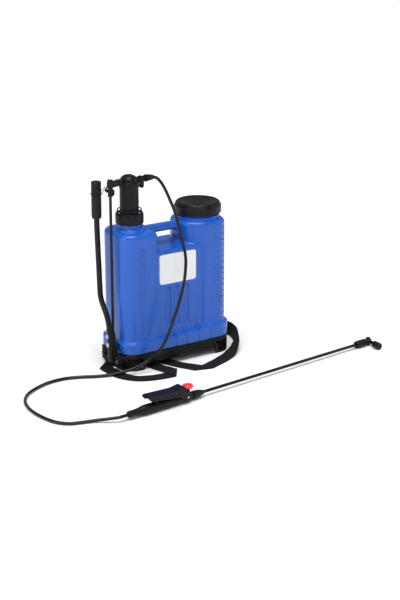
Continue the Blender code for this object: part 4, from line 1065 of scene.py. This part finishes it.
def head_field(x, y, z):
    """Dome with a curved seam rib and a level port towards +X."""
    radial = np.hypot(x, y)
    low = HEAD_LOW + 0.0075
    dome = (np.sqrt((radial / 0.0275) ** 2 + (np.maximum(z - low, 0.0) / 0.0205) ** 2) - 1.0) * 0.0225
    dome = corner(dome, low - 0.002 - z, 0.001)
    flange = stack(radial - 0.0305, z, HEAD_LOW, HEAD_LOW + 0.0072, 0.0012)
    body = fuse(dome, flange, 0.0015)
    port = stack(disc(y, z, 0.0085, 0.0, PORT_Z), x, 0.010, 0.0335, 0.0008)
    body = fuse(body, port, 0.0025)
    for turn in (math.radians(-52), math.radians(38)):
        run = x * math.cos(turn) + y * math.sin(turn)
        off = -x * math.sin(turn) + y * math.cos(turn)
        bow = np.sqrt((run / 0.0278) ** 2 + (np.maximum(z - low, 0.0) / 0.0203) ** 2)
        rib = plate((bow - 1.0) * 0.0225, off, 0.0009, 0.0011, 0.0005)
        body = fuse(body, corner(rib, low - z, 0.0005), 0.0012)
    return body


def arm_field(x, y, z):
    """Cross arm in its own frame: collar round the chamber head, ribbed beam, and the rod's socket."""
    reach = math.hypot(ROD_X - PUMP_X, ROD_Y)
    radial = np.hypot(x, y)
    ring = stack(plate(radial, z, 0.0018, 0.0030, 0.0008, 0.0327, HEAD_LOW + 0.0030), z, 0.560, 0.580, 0.0001)
    beam = stack(plate(y, z, 0.0070, 0.0089, 0.0018, 0.0, 0.5791), x, 0.0318, reach + 0.008, 0.0015)
    side = plate(x, z, (reach - 0.052) / 2, 0.0052, 0.0015, (reach + 0.034) / 2, 0.5790)
    beam = beam + 0.0018 * ease(-side, 0.0, 0.0015) * ease(np.abs(y), 0.0035, 0.0045)
    limb = stack(disc(x, y, 0.0088, reach), z, 0.5700, 0.5945, 0.0020)
    body = fuse(fuse(ring, beam, 0.0020), limb, 0.0020)
    boss = stack(disc(x, y, 0.0062, 0.048), z, 0.5800, 0.5890, 0.0008)
    body = fuse(body, boss, 0.0010)
    body = less(body, corner(disc(x, y, ROD_R + 0.0003, reach), z - ROD_TOP - 0.0003, 0.0005), 0.0004)
    turn = math.atan2(ROD_Y, ROD_X - PUMP_X)
    east = x * math.cos(turn) - y * math.sin(turn)
    north = x * math.sin(turn) + y * math.cos(turn)
    opening = plate(east, north, 0.0250, 0.0130, 0.0010, 0.0400)
    return less(less(body, radial - 0.0308, 0.0003), opening, 0.0008)


def elbow_field(x, y, z):
    """Outlet block along +X with a long lobe below it and the barb for the hose."""
    collar = stack(disc(y, z, 0.0103), x, 0.0, 0.0100, 0.0015)
    lobe = plate(np.hypot(x - 0.0100, y), z, 0.0078, 0.0160, 0.0055, 0.0, -0.0120)
    barb = stack(disc(y, z, 0.0038), x, 0.005, 0.034, 0.0008)
    step = stack(disc(y, z, 0.0085), x, 0.0080, 0.0195, 0.0012)
    return fuse(fuse(fuse(collar, lobe, 0.0025), barb, 0.0010), step, 0.0012)


def make_head():
    place = Matrix.Translation((PUMP_X, 0, 0))
    mesh = skin("head", head_field, (-0.031, -0.031, HEAD_LOW), (0.034, 0.031, 0.5975), PART_CELL)
    show("chamber_head", mesh, place)
    arm_place = place @ Matrix.Rotation(math.atan2(ROD_Y, ROD_X - PUMP_X), 4, "Z")
    mesh = skin("arm", arm_field, (-0.036, -0.036, 0.566), (0.092, 0.036, 0.596), PART_CELL)
    show("cross_arm", mesh, arm_place)
    screw = [
        (0, 0.5893), (0.0038, 0.5893), (0.0038, 0.5912), (0.0024, 0.5924), (0.0010, 0.5924),
        (0.0010, 0.5910), (0, 0.5910),
    ]
    show("arm_screw", turned(screw, 0.0004, 40), arm_place @ Matrix.Translation((0.048, 0, 0)))
    outlet = Matrix.Translation((OUTLET_X, 0, PORT_Z))
    mesh = skin("elbow", elbow_field, (0.0, -0.0105, -0.0285), (0.034, 0.0105, 0.0105), SMALL_CELL, 0.4)
    show("outlet_elbow", mesh, outlet)
    line = aim((OUTLET_X, 0, PORT_Z), (1, 0, 0))
    nut = [
        (0.0042, 0.0205), (0.0098, 0.0205), (0.0114, 0.0218), (0.0114, 0.0250), (0.0104, 0.0256),
        (0.0104, 0.0270), (0.0110, 0.0276), (0.0108, 0.0300), (0.0098, 0.0330), (0.0042, 0.0330),
    ]

    show("hose_nut", turned(nut, 0.0004, 96, flutes(16, 0.0005, 0.0103)), line)
    relief = [
        (0.0042, 0.0333), (0.0098, 0.0333), (0.0096, 0.0370), (0.0086, 0.0376), (0.0086, 0.0390),
        (0.0092, 0.0396), (0.0088, 0.0430), (0.0076, 0.0436), (0.0075, 0.0450), (0.0078, 0.0456),
        (0.0068, 0.0510), (0.0054, 0.0510), (0.0054, 0.0360), (0.0042, 0.0345),
    ]
    show("hose_relief", turned(relief, 0.0004, 64), line)


# ---------------------------------------------------------------- filler

def make_cap():
    place = Matrix.Translation((FILLER_X, 0, 0))
    shell = [
        (0.0665, 0.4465), (0.0725, 0.4465), (CAP_R, 0.4480), (CAP_R, 0.4690), (0.0722, 0.4700),
        (0.0716, 0.4722), (0.0690, 0.4770), (0.0664, 0.4798), (0.0640, 0.4812), (0.0610, 0.4812),
        (0.0600, 0.4788), (0.0575, 0.4784), (0.0400, 0.4745), (0.0240, 0.4715), (0.0180, 0.4708),
        (0.0170, 0.4718), (0.0150, 0.4718), (0.0140, 0.4702), (0.0095, 0.4690), (0.0060, 0.4690),
        (0.0060, 0.4662), (0.0480, 0.4700), (0.0515, 0.4741), (0.0665, 0.4741),
    ]

    def finger_grips(angle, radius, height):
        fade = float(ease(radius, 0.0715, 0.0730)) * (1 - float(ease(height, 0.4675, 0.4695)))
        fade *= float(ease(height, 0.4470, 0.4490))
        return -0.0009 * fade * (0.5 - 0.5 * math.cos(40 * angle)) ** 4

    show("filler_cap", turned(shell, 0.0012, 280, finger_grips), place)
    valve = [
        (0, 0.4600), (0.0080, 0.4600), (0.0080, 0.4655), (0.0052, 0.4660), (0.0052, 0.4700),
        (0.0070, 0.4703), (0.0064, 0.4722), (0.0045, 0.4730), (0.0022, 0.4730), (0.0018, 0.4700), (0, 0.4700),
    ]
    show("vent_valve", turned(valve, 0.0005, 40), place)
    gasket = [(0.0530, 0.4712), (0.0635, 0.4712), (0.0635, 0.4738), (0.0530, 0.4738)]
    show("cap_gasket", turned(gasket, 0.0008, 96), place)
    mesh = skin("basket", basket_field, (-0.062, -0.062, 0.385), (0.062, 0.062, 0.471), BASKET_CELL)
    show("strainer_basket", mesh, place)


def basket_field(x, y, z):
    """Cup with a flange and six barred windows."""
    radial = np.hypot(x, y)
    outline = [
        (-0.001, 0.3850), (0.0475, 0.3850), (0.0525, 0.4692), (0.0620, 0.4692), (0.0620, 0.4709),
        (0.0500, 0.4709), (0.0450, 0.3875), (-0.001, 0.3875),
    ]
    body = polygon(radial, z, outline)
    turn = (np.arctan2(y, x) % (math.pi / 3)) - math.pi / 6
    side = radial * np.sin(turn)
    window = corner(plate(side, z, 0.0165, 0.0290, 0.004, 0.0, 0.4270), 0.030 - radial, 0.001)
    bars = np.minimum(np.abs((side + 0.002) % 0.004 - 0.002), np.abs((z + 0.002) % 0.004 - 0.002)) - 0.0006
    mesh = corner(bars, slab(radial - (z - 0.385) * 0.0594, 0.0455, 0.0468), 0.0003)
    return np.minimum(less(body, window, 0.0005), corner(mesh, window - 0.001, 0.0002))


# ---------------------------------------------------------------- lever linkage

def hexagon(angle, radius, height):
    """Change of radius that makes a round outline six-sided."""
    return radius * (math.cos(math.pi / 6) / math.cos((angle % (math.pi / 3)) - math.pi / 6) - 1.0)


def arm_outline():
    """Crank plate in the lever's plane: round the shaft, out to the pin and up the lever."""
    points = []
    for degrees in range(150, 331, 15):
        angle = math.radians(degrees)
        points.append((SHAFT_Y + 0.0125 * math.cos(angle), SHAFT_Z + 0.0125 * math.sin(angle)))
    for degrees in range(-60, 46, 15):
        angle = math.radians(degrees)
        points.append((PIN_Y + 0.009 * math.cos(angle), PIN_Z + 0.009 * math.sin(angle)))
    tongue = [
        (-0.0207, 0.0712), (-0.0270, 0.0850), (-0.0250, 0.1240), (-0.0470, 0.1240), (-0.0530, 0.0800),
        (-0.0748, 0.0453),
    ]
    return points + soften(tongue, 0.004)[1:-1]


BOLTS = ((-0.0385, 0.0860), (-0.0360, 0.1130))


def plate_field(x, y, z):
    body = stack(polygon(y, z, arm_outline()), x, *ARM_X, 0.0006)
    holes = [(SHAFT_Y, SHAFT_Z, 0.0063), (PIN_Y, PIN_Z, 0.0043)] + [(y0, z0, 0.0033) for y0, z0 in BOLTS]
    for at_y, at_z, radius in holes:
        body = less(body, disc(y, z, radius, at_y, at_z), 0.0003)
    return body


def eye_field(x, y, z):
    """Slotted end of the connecting rod, with a web up to the round bar."""
    half = (SHAFT_Y + 0.045 - PIN_Y) / 2 + 0.0046
    body = plate(y, z, half + 0.0050, 0.0090, 0.0085, ROD_Y, PIN_Z)
    neck = plate(y, z, 0.0055, 0.0110, 0.0030, ROD_Y, PIN_Z + 0.0110)
    body = stack(fuse(body, neck, 0.004), x, ROD_X - 0.003, ROD_X + 0.003, 0.0008)
    bar = corner(disc(x, y, 0.0044, ROD_X, ROD_Y), np.maximum(PIN_Z + 0.007 - z, z - 0.092), 0.0005)
    slot = plate(y, z, half, 0.0050, 0.0048, ROD_Y, PIN_Z)
    return less(fuse(body, bar, 0.001), slot, 0.0004)


def make_linkage():
    axis = aim((0, SHAFT_Y, SHAFT_Z), (1, 0, 0))
    mesh = skin("crank", plate_field, (ARM_X[0], -0.077, 0.026), (ARM_X[1], -0.017, 0.125), FINE_CELL, 0.3)
    show("crank_arm", mesh)
    shaft = [(0, -0.2188), (0.0050, -0.2188), (0.0060, -0.2178), (0.0060, -0.1440), (0, -0.1440)]
    show("crank_shaft", turned(shaft, 0.0004, 40), axis)
    nut = [
        (0.0063, -0.2180), (0.0112, -0.2180), (0.0119, -0.2172), (0.0119, -0.2148), (0.0112, -0.2140),
        (0.0063, -0.2140),
    ]
    show("crank_nut", turned(nut, 0.0003, 72, hexagon), axis)
    bush = [
        (0.0063, -0.1994), (0.0105, -0.1994), (0.0105, -0.1978), (0.0085, -0.1978), (0.0085, -0.1890),
        (0.0063, -0.1890),
    ]
    show("shaft_bush_outer", turned(bush, 0.0003, 48), axis)
    pin_axis = aim((0, PIN_Y, PIN_Z), (1, 0, 0))
    pin = [
        (0, -0.2138), (0.0034, -0.2138), (0.0040, -0.2132), (0.0040, -0.1998), (0.0034, -0.1992),
        (0, -0.1992),
    ]
    show("crank_pin", turned(pin, 0.0003, 36), pin_axis)
    for name, (y, z) in zip(("lever_bolt_low", "lever_bolt_high"), BOLTS):
        bolt = [
            (0, -0.2366), (0.0035, -0.2360), (0.0052, -0.2344), (0.0055, -0.2332), (0.0075, -0.2330),
            (0.0075, -0.2322), (0.0030, -0.2322), (0.0030, -0.2092), (0, -0.2092),
        ]
        show(name, turned(bolt, 0.0004, 40), aim((0, y, z), (1, 0, 0)))
    mesh = skin("rod_eye", eye_field, (ROD_X - 0.004, -0.041, 0.055),
                (ROD_X + 0.004, -0.006, 0.093), FINE_CELL)
    show("connecting_rod", mesh)
    bar = [(0, 0.0880), (0.0044, 0.0880), (0.0044, 0.5690), (ROD_R, 0.5700), (ROD_R, ROD_TOP), (0, ROD_TOP)]
    upright = Matrix.Translation((ROD_X, ROD_Y, 0))
    show("connecting_rod", turned(bar, 0.0002, 32), upright, suffix="_bar", stands=False)


def make_lever():
    route = finer([(LEVER_X, y, z) for y, z in LEVER_ROUTE], 8)
    show("lever_tube", pipe(route, LEVER_R, 28))
    low, high = GRIP_Z
    profile = [(LEVER_R + 0.0003, low), (0.0132, low), (0.0145, low + 0.0020), (0.0150, low + 0.010)]
    pitch = 0.0050
    for i in range(18):
        z = low + 0.014 + pitch * i
        if z + pitch < high - 0.003:
            profile += [(0.0156, z), (0.0156, z + 0.0026), (0.0145, z + 0.0032), (0.0145, z + 0.0044)]
    profile += [(GRIP_R, high - 0.0030), (GRIP_R - 0.001, high - 0.0008)]
    profile += [(GRIP_R - 0.0025, high), (0.0060, high)]
    profile += [(0.0052, high - 0.0012), (0, high - 0.0012), (0, 0.5608), (LEVER_R + 0.0003, 0.5608)]
    top = profile.index((0, high - 0.0012))
    profile = profile[top + 1:] + profile[:top + 1]

    def flats(angle, radius, height):
        if radius < 0.014 or height < low + 0.012 or height > high - 0.004:
            return 0.0
        smooth_side = abs(math.cos(angle + math.radians(20))) ** 6
        lower = 1 - float(ease(height, 0.524, 0.532))
        return (0.0152 - radius) * max(smooth_side, lower)

    show("lever_grip", turned(profile, 0.0003, 72, flats), lever_lean())


def make_keeper():
    """Wire loop round the grip whose far end rests over the clip's hook."""
    lean = lever_lean()
    radius = 0.0172
    points = []
    for degrees in range(-50, 231, 20):
        angle = math.radians(degrees)
        points.append(lean @ Vector((radius * math.cos(angle), radius * math.sin(angle), 0.5440)))
    hook = Vector((-0.2120, -0.0145, 0.5715))
    left, right = points[-1], points[0]
    points += [left.lerp(hook, 0.5), hook + Vector((-0.0035, 0.002, 0))]
    points += [hook + Vector((0, -0.0015, 0)), hook + Vector((0.0035, 0.002, 0)), right.lerp(hook, 0.5)]
    fine = finer(points + points[:1], 4)[:-1]
    show("lever_keeper", pipe(fine, 0.0011, 10, True))


def clip_field(x, y, z):
    """Sheath on the rod with a wing on one side and a hook for the keeper on the other."""
    sheath = stack(disc(x, y, 0.0075), z, 0.5440, 0.5695, 0.0010)
    collar = stack(disc(x, y, 0.0084), z, 0.5440, 0.5475, 0.0008)
    body = fuse(sheath, collar, 0.0008)
    wing = stack(plate(x, y, 0.0050, 0.0045, 0.0012, 0.0075), z, 0.5460, 0.5640, 0.0012)
    wing = wing + 0.0010 * ease(-plate(x, z, 0.0030, 0.0065, 0.0010, 0.0090, 0.5550), 0.0, 0.0008)
    body = fuse(body, wing, 0.0012)
    stalk = stack(plate(x, y, 0.0050, 0.0035, 0.0010, -0.0070, 0.0065), z, 0.5560, 0.5640, 0.0010)
    tip = stack(plate(x, y, 0.0025, 0.0020, 0.0008, -0.0095, 0.0080), z, 0.5600, 0.5690, 0.0010)
    body = fuse(fuse(body, stalk, 0.0010), tip, 0.0010)
    return less(body, disc(x, y, ROD_R + 0.0003), 0.0004)


def make_clip():
    place = Matrix.Translation((ROD_X, ROD_Y, 0))
    mesh = skin("clip", clip_field, (-0.0125, -0.009, 0.544), (0.013, 0.0105, 0.570), FINE_CELL, 0.4)
    show("rod_clip", mesh, place)


# ---------------------------------------------------------------- spray wand

def body_field(x, y, z):
    """Valve handle along its own X: grip with side grooves, valve chest, pivot boss and knob neck."""
    outline = [
        (0.0263, 0.0), (0.0263, 0.0105), (0.0400, 0.0115), (0.0560, BODY_R), (0.1700, BODY_R),
        (0.1950, 0.0135), (0.2150, 0.0110), (0.2322, 0.0105), (0.2322, 0.0), (0.1300, -0.010),
    ]
    radial = np.hypot(y, z)
    body = polygon(x, radial, soften(outline, 0.0015, True, 2))
    flank = plate(x, z, 0.048, 0.0050, 0.0045, 0.112, 0.0)
    body = body + 0.0012 * ease(-flank, 0.0, 0.0012) * ease(np.abs(y), 0.008, 0.010)
    boss = stack(disc(x, z, 0.0155, *PIVOT), y, -0.0150, 0.0150, 0.0010)
    body = fuse(body, boss, 0.0015)
    ring = stack(np.abs(disc(x, z, 0.0095, *PIVOT)) - 0.0008, y, -0.0153, 0.0153, 0.0004)
    body = less(body, corner(ring, 0.0145 - np.abs(y), 0.0002), 0.0003)
    neck = stack(disc(x, y, 0.0070, KNOB_S), z, 0.010, 0.0272, 0.0006)
    body = fuse(body, neck, 0.0020)
    well = stack(disc(x, y, 0.0062, STEM_S), z, -0.0100, 0.0200, 0.0003)
    chest = stack(disc(x, y, 0.0075, STEM_S), z, 0.0080, 0.0158, 0.0010)
    pin_hole = disc(x, z, 0.0027, *PIVOT)
    return less(less(fuse(body, chest, 0.002), well, 0.0004), pin_hole, 0.0003)


TRIGGER_SIDE = [
    (0.0610, 0.0360), (0.0665, 0.0418), (0.1600, 0.0370), (0.1940, 0.0418), (0.1970, 0.0300),
    (0.2150, 0.0150), (0.2175, 0.0050), (0.2090, -0.0050), (0.1980, -0.0040), (0.1780, 0.0120),
    (0.0935, 0.0222), (0.0915, 0.0150), (0.0885, 0.0150), (0.0850, 0.0228), (0.0735, 0.0240),
]
TRIGGER_INSIDE = [
    (0.0550, 0.0300), (0.0675, 0.0395), (0.1600, 0.0348), (0.1960, 0.0396), (0.2400, 0.0396),
    (0.2400, -0.0200), (0.0550, -0.0200),
]


def trigger_field(x, y, z):
    """Bent channel that covers the handle; its cheeks carry a raised border and a pivot ring."""
    side = polygon(x, z, soften(TRIGGER_SIDE, 0.0030, True, 3))
    body = stack(side, y, -0.0175, 0.0175, 0.0016)
    panel = plate(x + 0.4 * (z - 0.028), z + 0.055 * (x - 0.130), 0.0480, 0.0050, 0.0035, 0.1290, 0.0290)
    body = body + 0.0006 * ease(-panel, 0.0, 0.0012) * ease(np.abs(y), 0.0160, 0.0165)
    inside = stack(polygon(x, z, soften(TRIGGER_INSIDE, 0.0020, True, 2)), y, -0.0155, 0.0155, 0.0010)
    body = less(body, inside, 0.0005)
    eye = np.abs(disc(x, z, 0.0075, *PIVOT)) - 0.0010
    body = body + 0.0006 * ease(-eye, -0.0002, 0.0006) * ease(np.abs(y), 0.0160, 0.0165)
    return less(body, disc(x, z, 0.0027, *PIVOT), 0.0003)


def make_handle():
    wand = wand_frame()
    line = along(wand)
    nut = [
        (0.0049, 0.0003), (0.0085, 0.0003), (0.0100, 0.0020), (0.0105, 0.0040), (0.0105, 0.0120),
        (0.0097, 0.0128), (0.0097, 0.0142), (0.0105, 0.0150), (0.0105, 0.0240), (0.0095, 0.0260),
        (0.0049, 0.0260),
    ]
    show("handle_hose_nut", turned(nut, 0.0004, 120, flutes(20, 0.0005, 0.0103)), line)
    mesh = skin("handle", body_field, (0.026, -0.0155, -0.0155), (0.233, 0.0155, 0.0275), PART_CELL)
    show("valve_body", mesh, wand)
    mesh = skin("trigger", trigger_field, (0.060, -0.018, -0.006), (0.218, 0.018, 0.045), SMALL_CELL)
    show("trigger_lever", mesh, wand)
    pivot_line = wand @ Matrix.Translation((PIVOT[0], 0, PIVOT[1])) @ Matrix.Rotation(-math.pi / 2, 4, "X")
    pin = [
        (0, -0.0187), (0.0030, -0.0187), (0.0034, -0.0180), (0.0024, -0.0176), (0.0024, 0.0176),
        (0.0034, 0.0180), (0.0030, 0.0187), (0, 0.0187),
    ]
    show("trigger_pin", turned(pin, 0.0002, 32), pivot_line)
    dial = [
        (0, 0.0276), (0.0130, 0.0276), (0.0158, 0.0295), (0.0165, 0.0310), (0.0165, 0.0340), (0.0150, 0.0362),
        (0.0125, 0.0376), (0.0118, 0.0370), (0.0105, 0.0370), (0.0095, 0.0380), (0, 0.0386),
    ]

    def pointer(angle, radius, height):
        return 0.0028 * (radius / 0.0165) ** 4 * max(0.0, math.cos(angle - 0.45)) ** 14

    show("lock_knob", turned(dial, 0.0006, 96, pointer), wand @ Matrix.Translation((KNOB_S, 0, 0)))
    make_spring(wand)


def make_spring(wand):
    """Return spring under the stem's flange, a fixed coil; on the real sprayer it shortens as the trigger
    closes.
    """
    low, length, turns, steps = 0.0162, 0.0125, 4, 20
    place = wand @ Matrix.Translation((STEM_S, 0, 0))
    coil = []
    for i in range(turns * steps + 1):
        angle = 2 * math.pi * i / steps
        rise = low + length * i / (turns * steps)
        coil.append(place @ Vector((0.0042 * math.cos(angle), 0.0042 * math.sin(angle), rise)))
    spring = show("valve_spring", pipe(coil, 0.0005, 8))
    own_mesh(spring)


def knuckle_field(x, y, z):
    """Elbow ball with its two stubs, in the wand's frame at the knuckle."""
    ball = np.sqrt(x * x + y * y + z * z) - 0.0120
    stub = stack(disc(y, z, 0.0068), x, -0.0347, -0.002, 0.0006)
    neck = stack(disc(x, z, 0.0056), y, -0.0230, 0.0, 0.0006)
    cheek = stack(disc(x, y, 0.0068), z, -0.0128, 0.0128, 0.0010)
    return fuse(fuse(fuse(ball, stub, 0.002), neck, 0.002), cheek, 0.001)


def make_lance():
    wand = wand_frame()
    line = along(wand)
    nut = [
        (0.0108, 0.2326), (0.0122, 0.2332), (0.0125, 0.2345), (0.0125, 0.2450), (0.0119, 0.2458),
        (0.0119, 0.2472), (0.0121, 0.2480), (0.0110, 0.2580), (0.0092, 0.2650), (0.0088, 0.2652),
        (0.0086, 0.2668), (0.0080, 0.2700), (0.0062, 0.2759), (0.0046, 0.2759), (0.0046, 0.2450),
        (0.0108, 0.2440),
    ]
    show("lance_nut", turned(nut, 0.0004, 120, flutes(14, 0.0006, 0.0112, 2)), line)
    pipe_profile = [(0.0028, LANCE[0]), (LANCE_R, LANCE[0]), (LANCE_R, LANCE[1]), (0.0028, LANCE[1])]
    show("lance_tube", turned(pipe_profile, 0.0003, 32), line)
    end_nut = [
        (0.0046, 0.9050), (0.0088, 0.9050), (0.0098, 0.9062), (0.0115, 0.9095), (0.0115, 0.9250),
        (0.0108, 0.9258), (0.0108, 0.9272), (0.0115, 0.9280), (0.0115, 0.9440), (0.0100, 0.9480),
        (0.0072, 0.9480), (0.0072, 0.9220), (0.0046, 0.9210),
    ]
    show("nozzle_nut", turned(end_nut, 0.0004, 120, flutes(16, 0.0006, 0.0112, 2)), line)
    knuckle = wand @ Matrix.Translation((KNUCKLE, 0, 0))
    mesh = skin("knuckle", knuckle_field, (-0.035, -0.023, -0.013), (0.013, 0.013, 0.013), KNUCKLE_CELL)
    show("nozzle_elbow", mesh, knuckle)
    spout = Matrix.Translation(wand @ Vector((KNUCKLE, 0, 0))) @ Matrix.Rotation(math.pi / 2, 4, "X")
    tip = [(0, 0.0233), (0.0056, 0.0233), (0.0056, 0.0285), (0.0078, 0.0290), (0.0078, 0.0480), (0, 0.0480)]
    show("nozzle_body", turned(tip, 0.0004, 48), spout)
    cup = [
        (0.0082, 0.0300), (0.0095, 0.0300), (0.0103, 0.0308), (0.0105, 0.0320), (0.0105, 0.0400),
        (0.0100, 0.0406), (0.0100, 0.0416), (0.0105, 0.0422), (0.0105, 0.0560), (0.0090, 0.0590),
        (0.0040, 0.0590), (0.0030, 0.0582), (0.0012, 0.0578), (0.0012, 0.0506), (0.0082, 0.0506),
    ]
    show("nozzle_cap", turned(cup, 0.0004, 120, flutes(18, 0.0005, 0.0102, 2)), spout)


# ---------------------------------------------------------------- hose and webbing

def make_hose():
    route = [HOSE_ROUTE[0]] + finer(HOSE_ROUTE[1:], 6)
    mesh = mesh_of("hose_fine", *pipe(route, HOSE_R, 20))
    mesh.materials.append(PAINT["hose_rubber"])
    hose = bpy.data.objects.new("hose_fine", mesh)
    bpy.context.collection.objects.link(hose)
    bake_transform(hose)
    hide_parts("hose")


def cross_line(angle, tilt):
    turn, rise = math.radians(angle), math.radians(tilt)
    flat = math.cos(rise)
    return Vector((math.cos(turn) * flat, math.sin(turn) * flat, math.sin(rise)))


def strap_stations(out, fold, back, pieces):
    """Fine stations along the outward run, over the slanted fold, and along the second layer."""
    x, y, angle, _ = fold
    folded = [(x, y, z, angle, 0) for z in (0.0013, 0.0021, 0.0029, 0.0037, 0.0045)]
    return finer(out, pieces) + folded + finer(back, pieces)


def make_strap(name, out, fold, back):
    """Flat strip with round selvedges and a slight cupping, in metres along its weave map."""
    rows = strap_stations(out, fold, back, 6)
    centres = [Vector(row[:3]) for row in rows]
    across = 12
    points, faces, weave, walked = [], [], [], 0.0
    for i, (x, y, _, angle, tilt) in enumerate(rows):
        line = cross_line(angle, tilt)
        before, after = centres[max(i - 1, 0)], centres[min(i + 1, len(rows) - 1)]
        ahead = (after - before).normalized()
        normal = ahead.cross(line).normalized()
        half = WEB_HALF * (fold[3] if (x, y) == fold[:2] else 1)
        if i:
            walked += (centres[i] - centres[i - 1]).length
        ripple = 0.00022 * math.sin(walked * 95.0) + 0.00015 * math.sin(walked * 41.0 + 1.0)
        for side in (-1, 1):
            for k in range(across + 1):
                share = side * (1 - 2 * k / across)
                thick = WEB_THICK / 2 * math.sqrt(max(0.0, 1 - abs(share) ** 14)) * 0.92
                lift = ripple * share * share
                points.append(centres[i] + line * half * share + normal * (side * thick + lift))
                weave.append((share * WEB_HALF, walked))
    ring = 2 * (across + 1)
    for i in range(len(rows) - 1):
        for k in range(ring):
            m = (k + 1) % ring
            faces.append([i * ring + k, i * ring + m, (i + 1) * ring + m, (i + 1) * ring + k])
    faces.append(list(range(ring))[::-1])
    faces.append([(len(rows) - 1) * ring + k for k in range(ring)])
    mesh = mesh_of(name + "_fine", *outward(points, faces))
    layer = mesh.uv_layers.new(name="weave")
    index = np.empty(len(mesh.loops), np.int32)
    mesh.loops.foreach_get("vertex_index", index)
    layer.data.foreach_set("uv", np.array(weave, np.float32)[index].ravel())
    strap = show(name, mesh)


def anchor_field(x, y, z):
    """Moulded bar that clamps the upper ends of the webbing to the tank."""
    body = stack(plate(x, z, 0.075, 0.012, 0.008, 0.010, 0.345), y, 0.0803, 0.0880, 0.0012)
    rim = plate(x, z, 0.071, 0.008, 0.005, 0.010, 0.345)
    body = body + 0.0010 * ease(-rim, 0.0, 0.0010) * ease(y, 0.0860, 0.0865)
    for at in (-0.058, 0.010, 0.078):
        head = stack(disc(x, z, 0.0045, at, 0.345), y, 0.0860, 0.0886, 0.0006)
        slot = stack(plate(x, z, 0.0035, 0.0006, 0.0003, at, 0.345), y, 0.0878, 0.0900, 0.0001)
        body = fuse(body, less(head, slot, 0.0002), 0.0003)
    return body


def make_straps():
    make_strap("strap_left", LEFT_OUT, LEFT_FOLD, LEFT_BACK)
    make_strap("strap_right", RIGHT_OUT, RIGHT_FOLD, RIGHT_BACK)
    for name, side in (("strap_stud_left", -1), ("strap_stud_right", 1)):
        stud = [
            (0, 0.1700), (0.0040, 0.1700), (0.0040, 0.2012), (0.0088, 0.2014), (0.0095, 0.2026),
            (0.0095, 0.2050), (0.0086, 0.2076), (0.0060, 0.2090), (0.0030, 0.2090), (0.0024, 0.2082),
            (0, 0.2082),
        ]
        show(name, turned(stud, 0.0006, 48), aim((0, STUD_Y, STUD_Z), (side, 0, 0)))
    mesh = skin("anchor", anchor_field, (-0.065, 0.080, 0.333), (0.085, 0.089, 0.357), SMALL_CELL, 0.3)
    show("strap_anchor", mesh)


# ---------------------------------------------------------------- all together

def paint_rest():
    """The CAD nodes that stay get the same materials, by their slot."""
    for name, shown in frame["nodes"].items():
        shown.data.materials.clear()
        shown.data.materials.append(PAINT[SLOT_OF[name]])


make_camera()
make_paint()
make_hose()
make_floor()
make_lights()
make_tank()
make_base()
make_collar()
make_chamber()
make_head()
make_cap()
make_linkage()
make_lever()
make_keeper()
make_clip()
make_handle()
make_lance()
make_straps()
paint_rest()
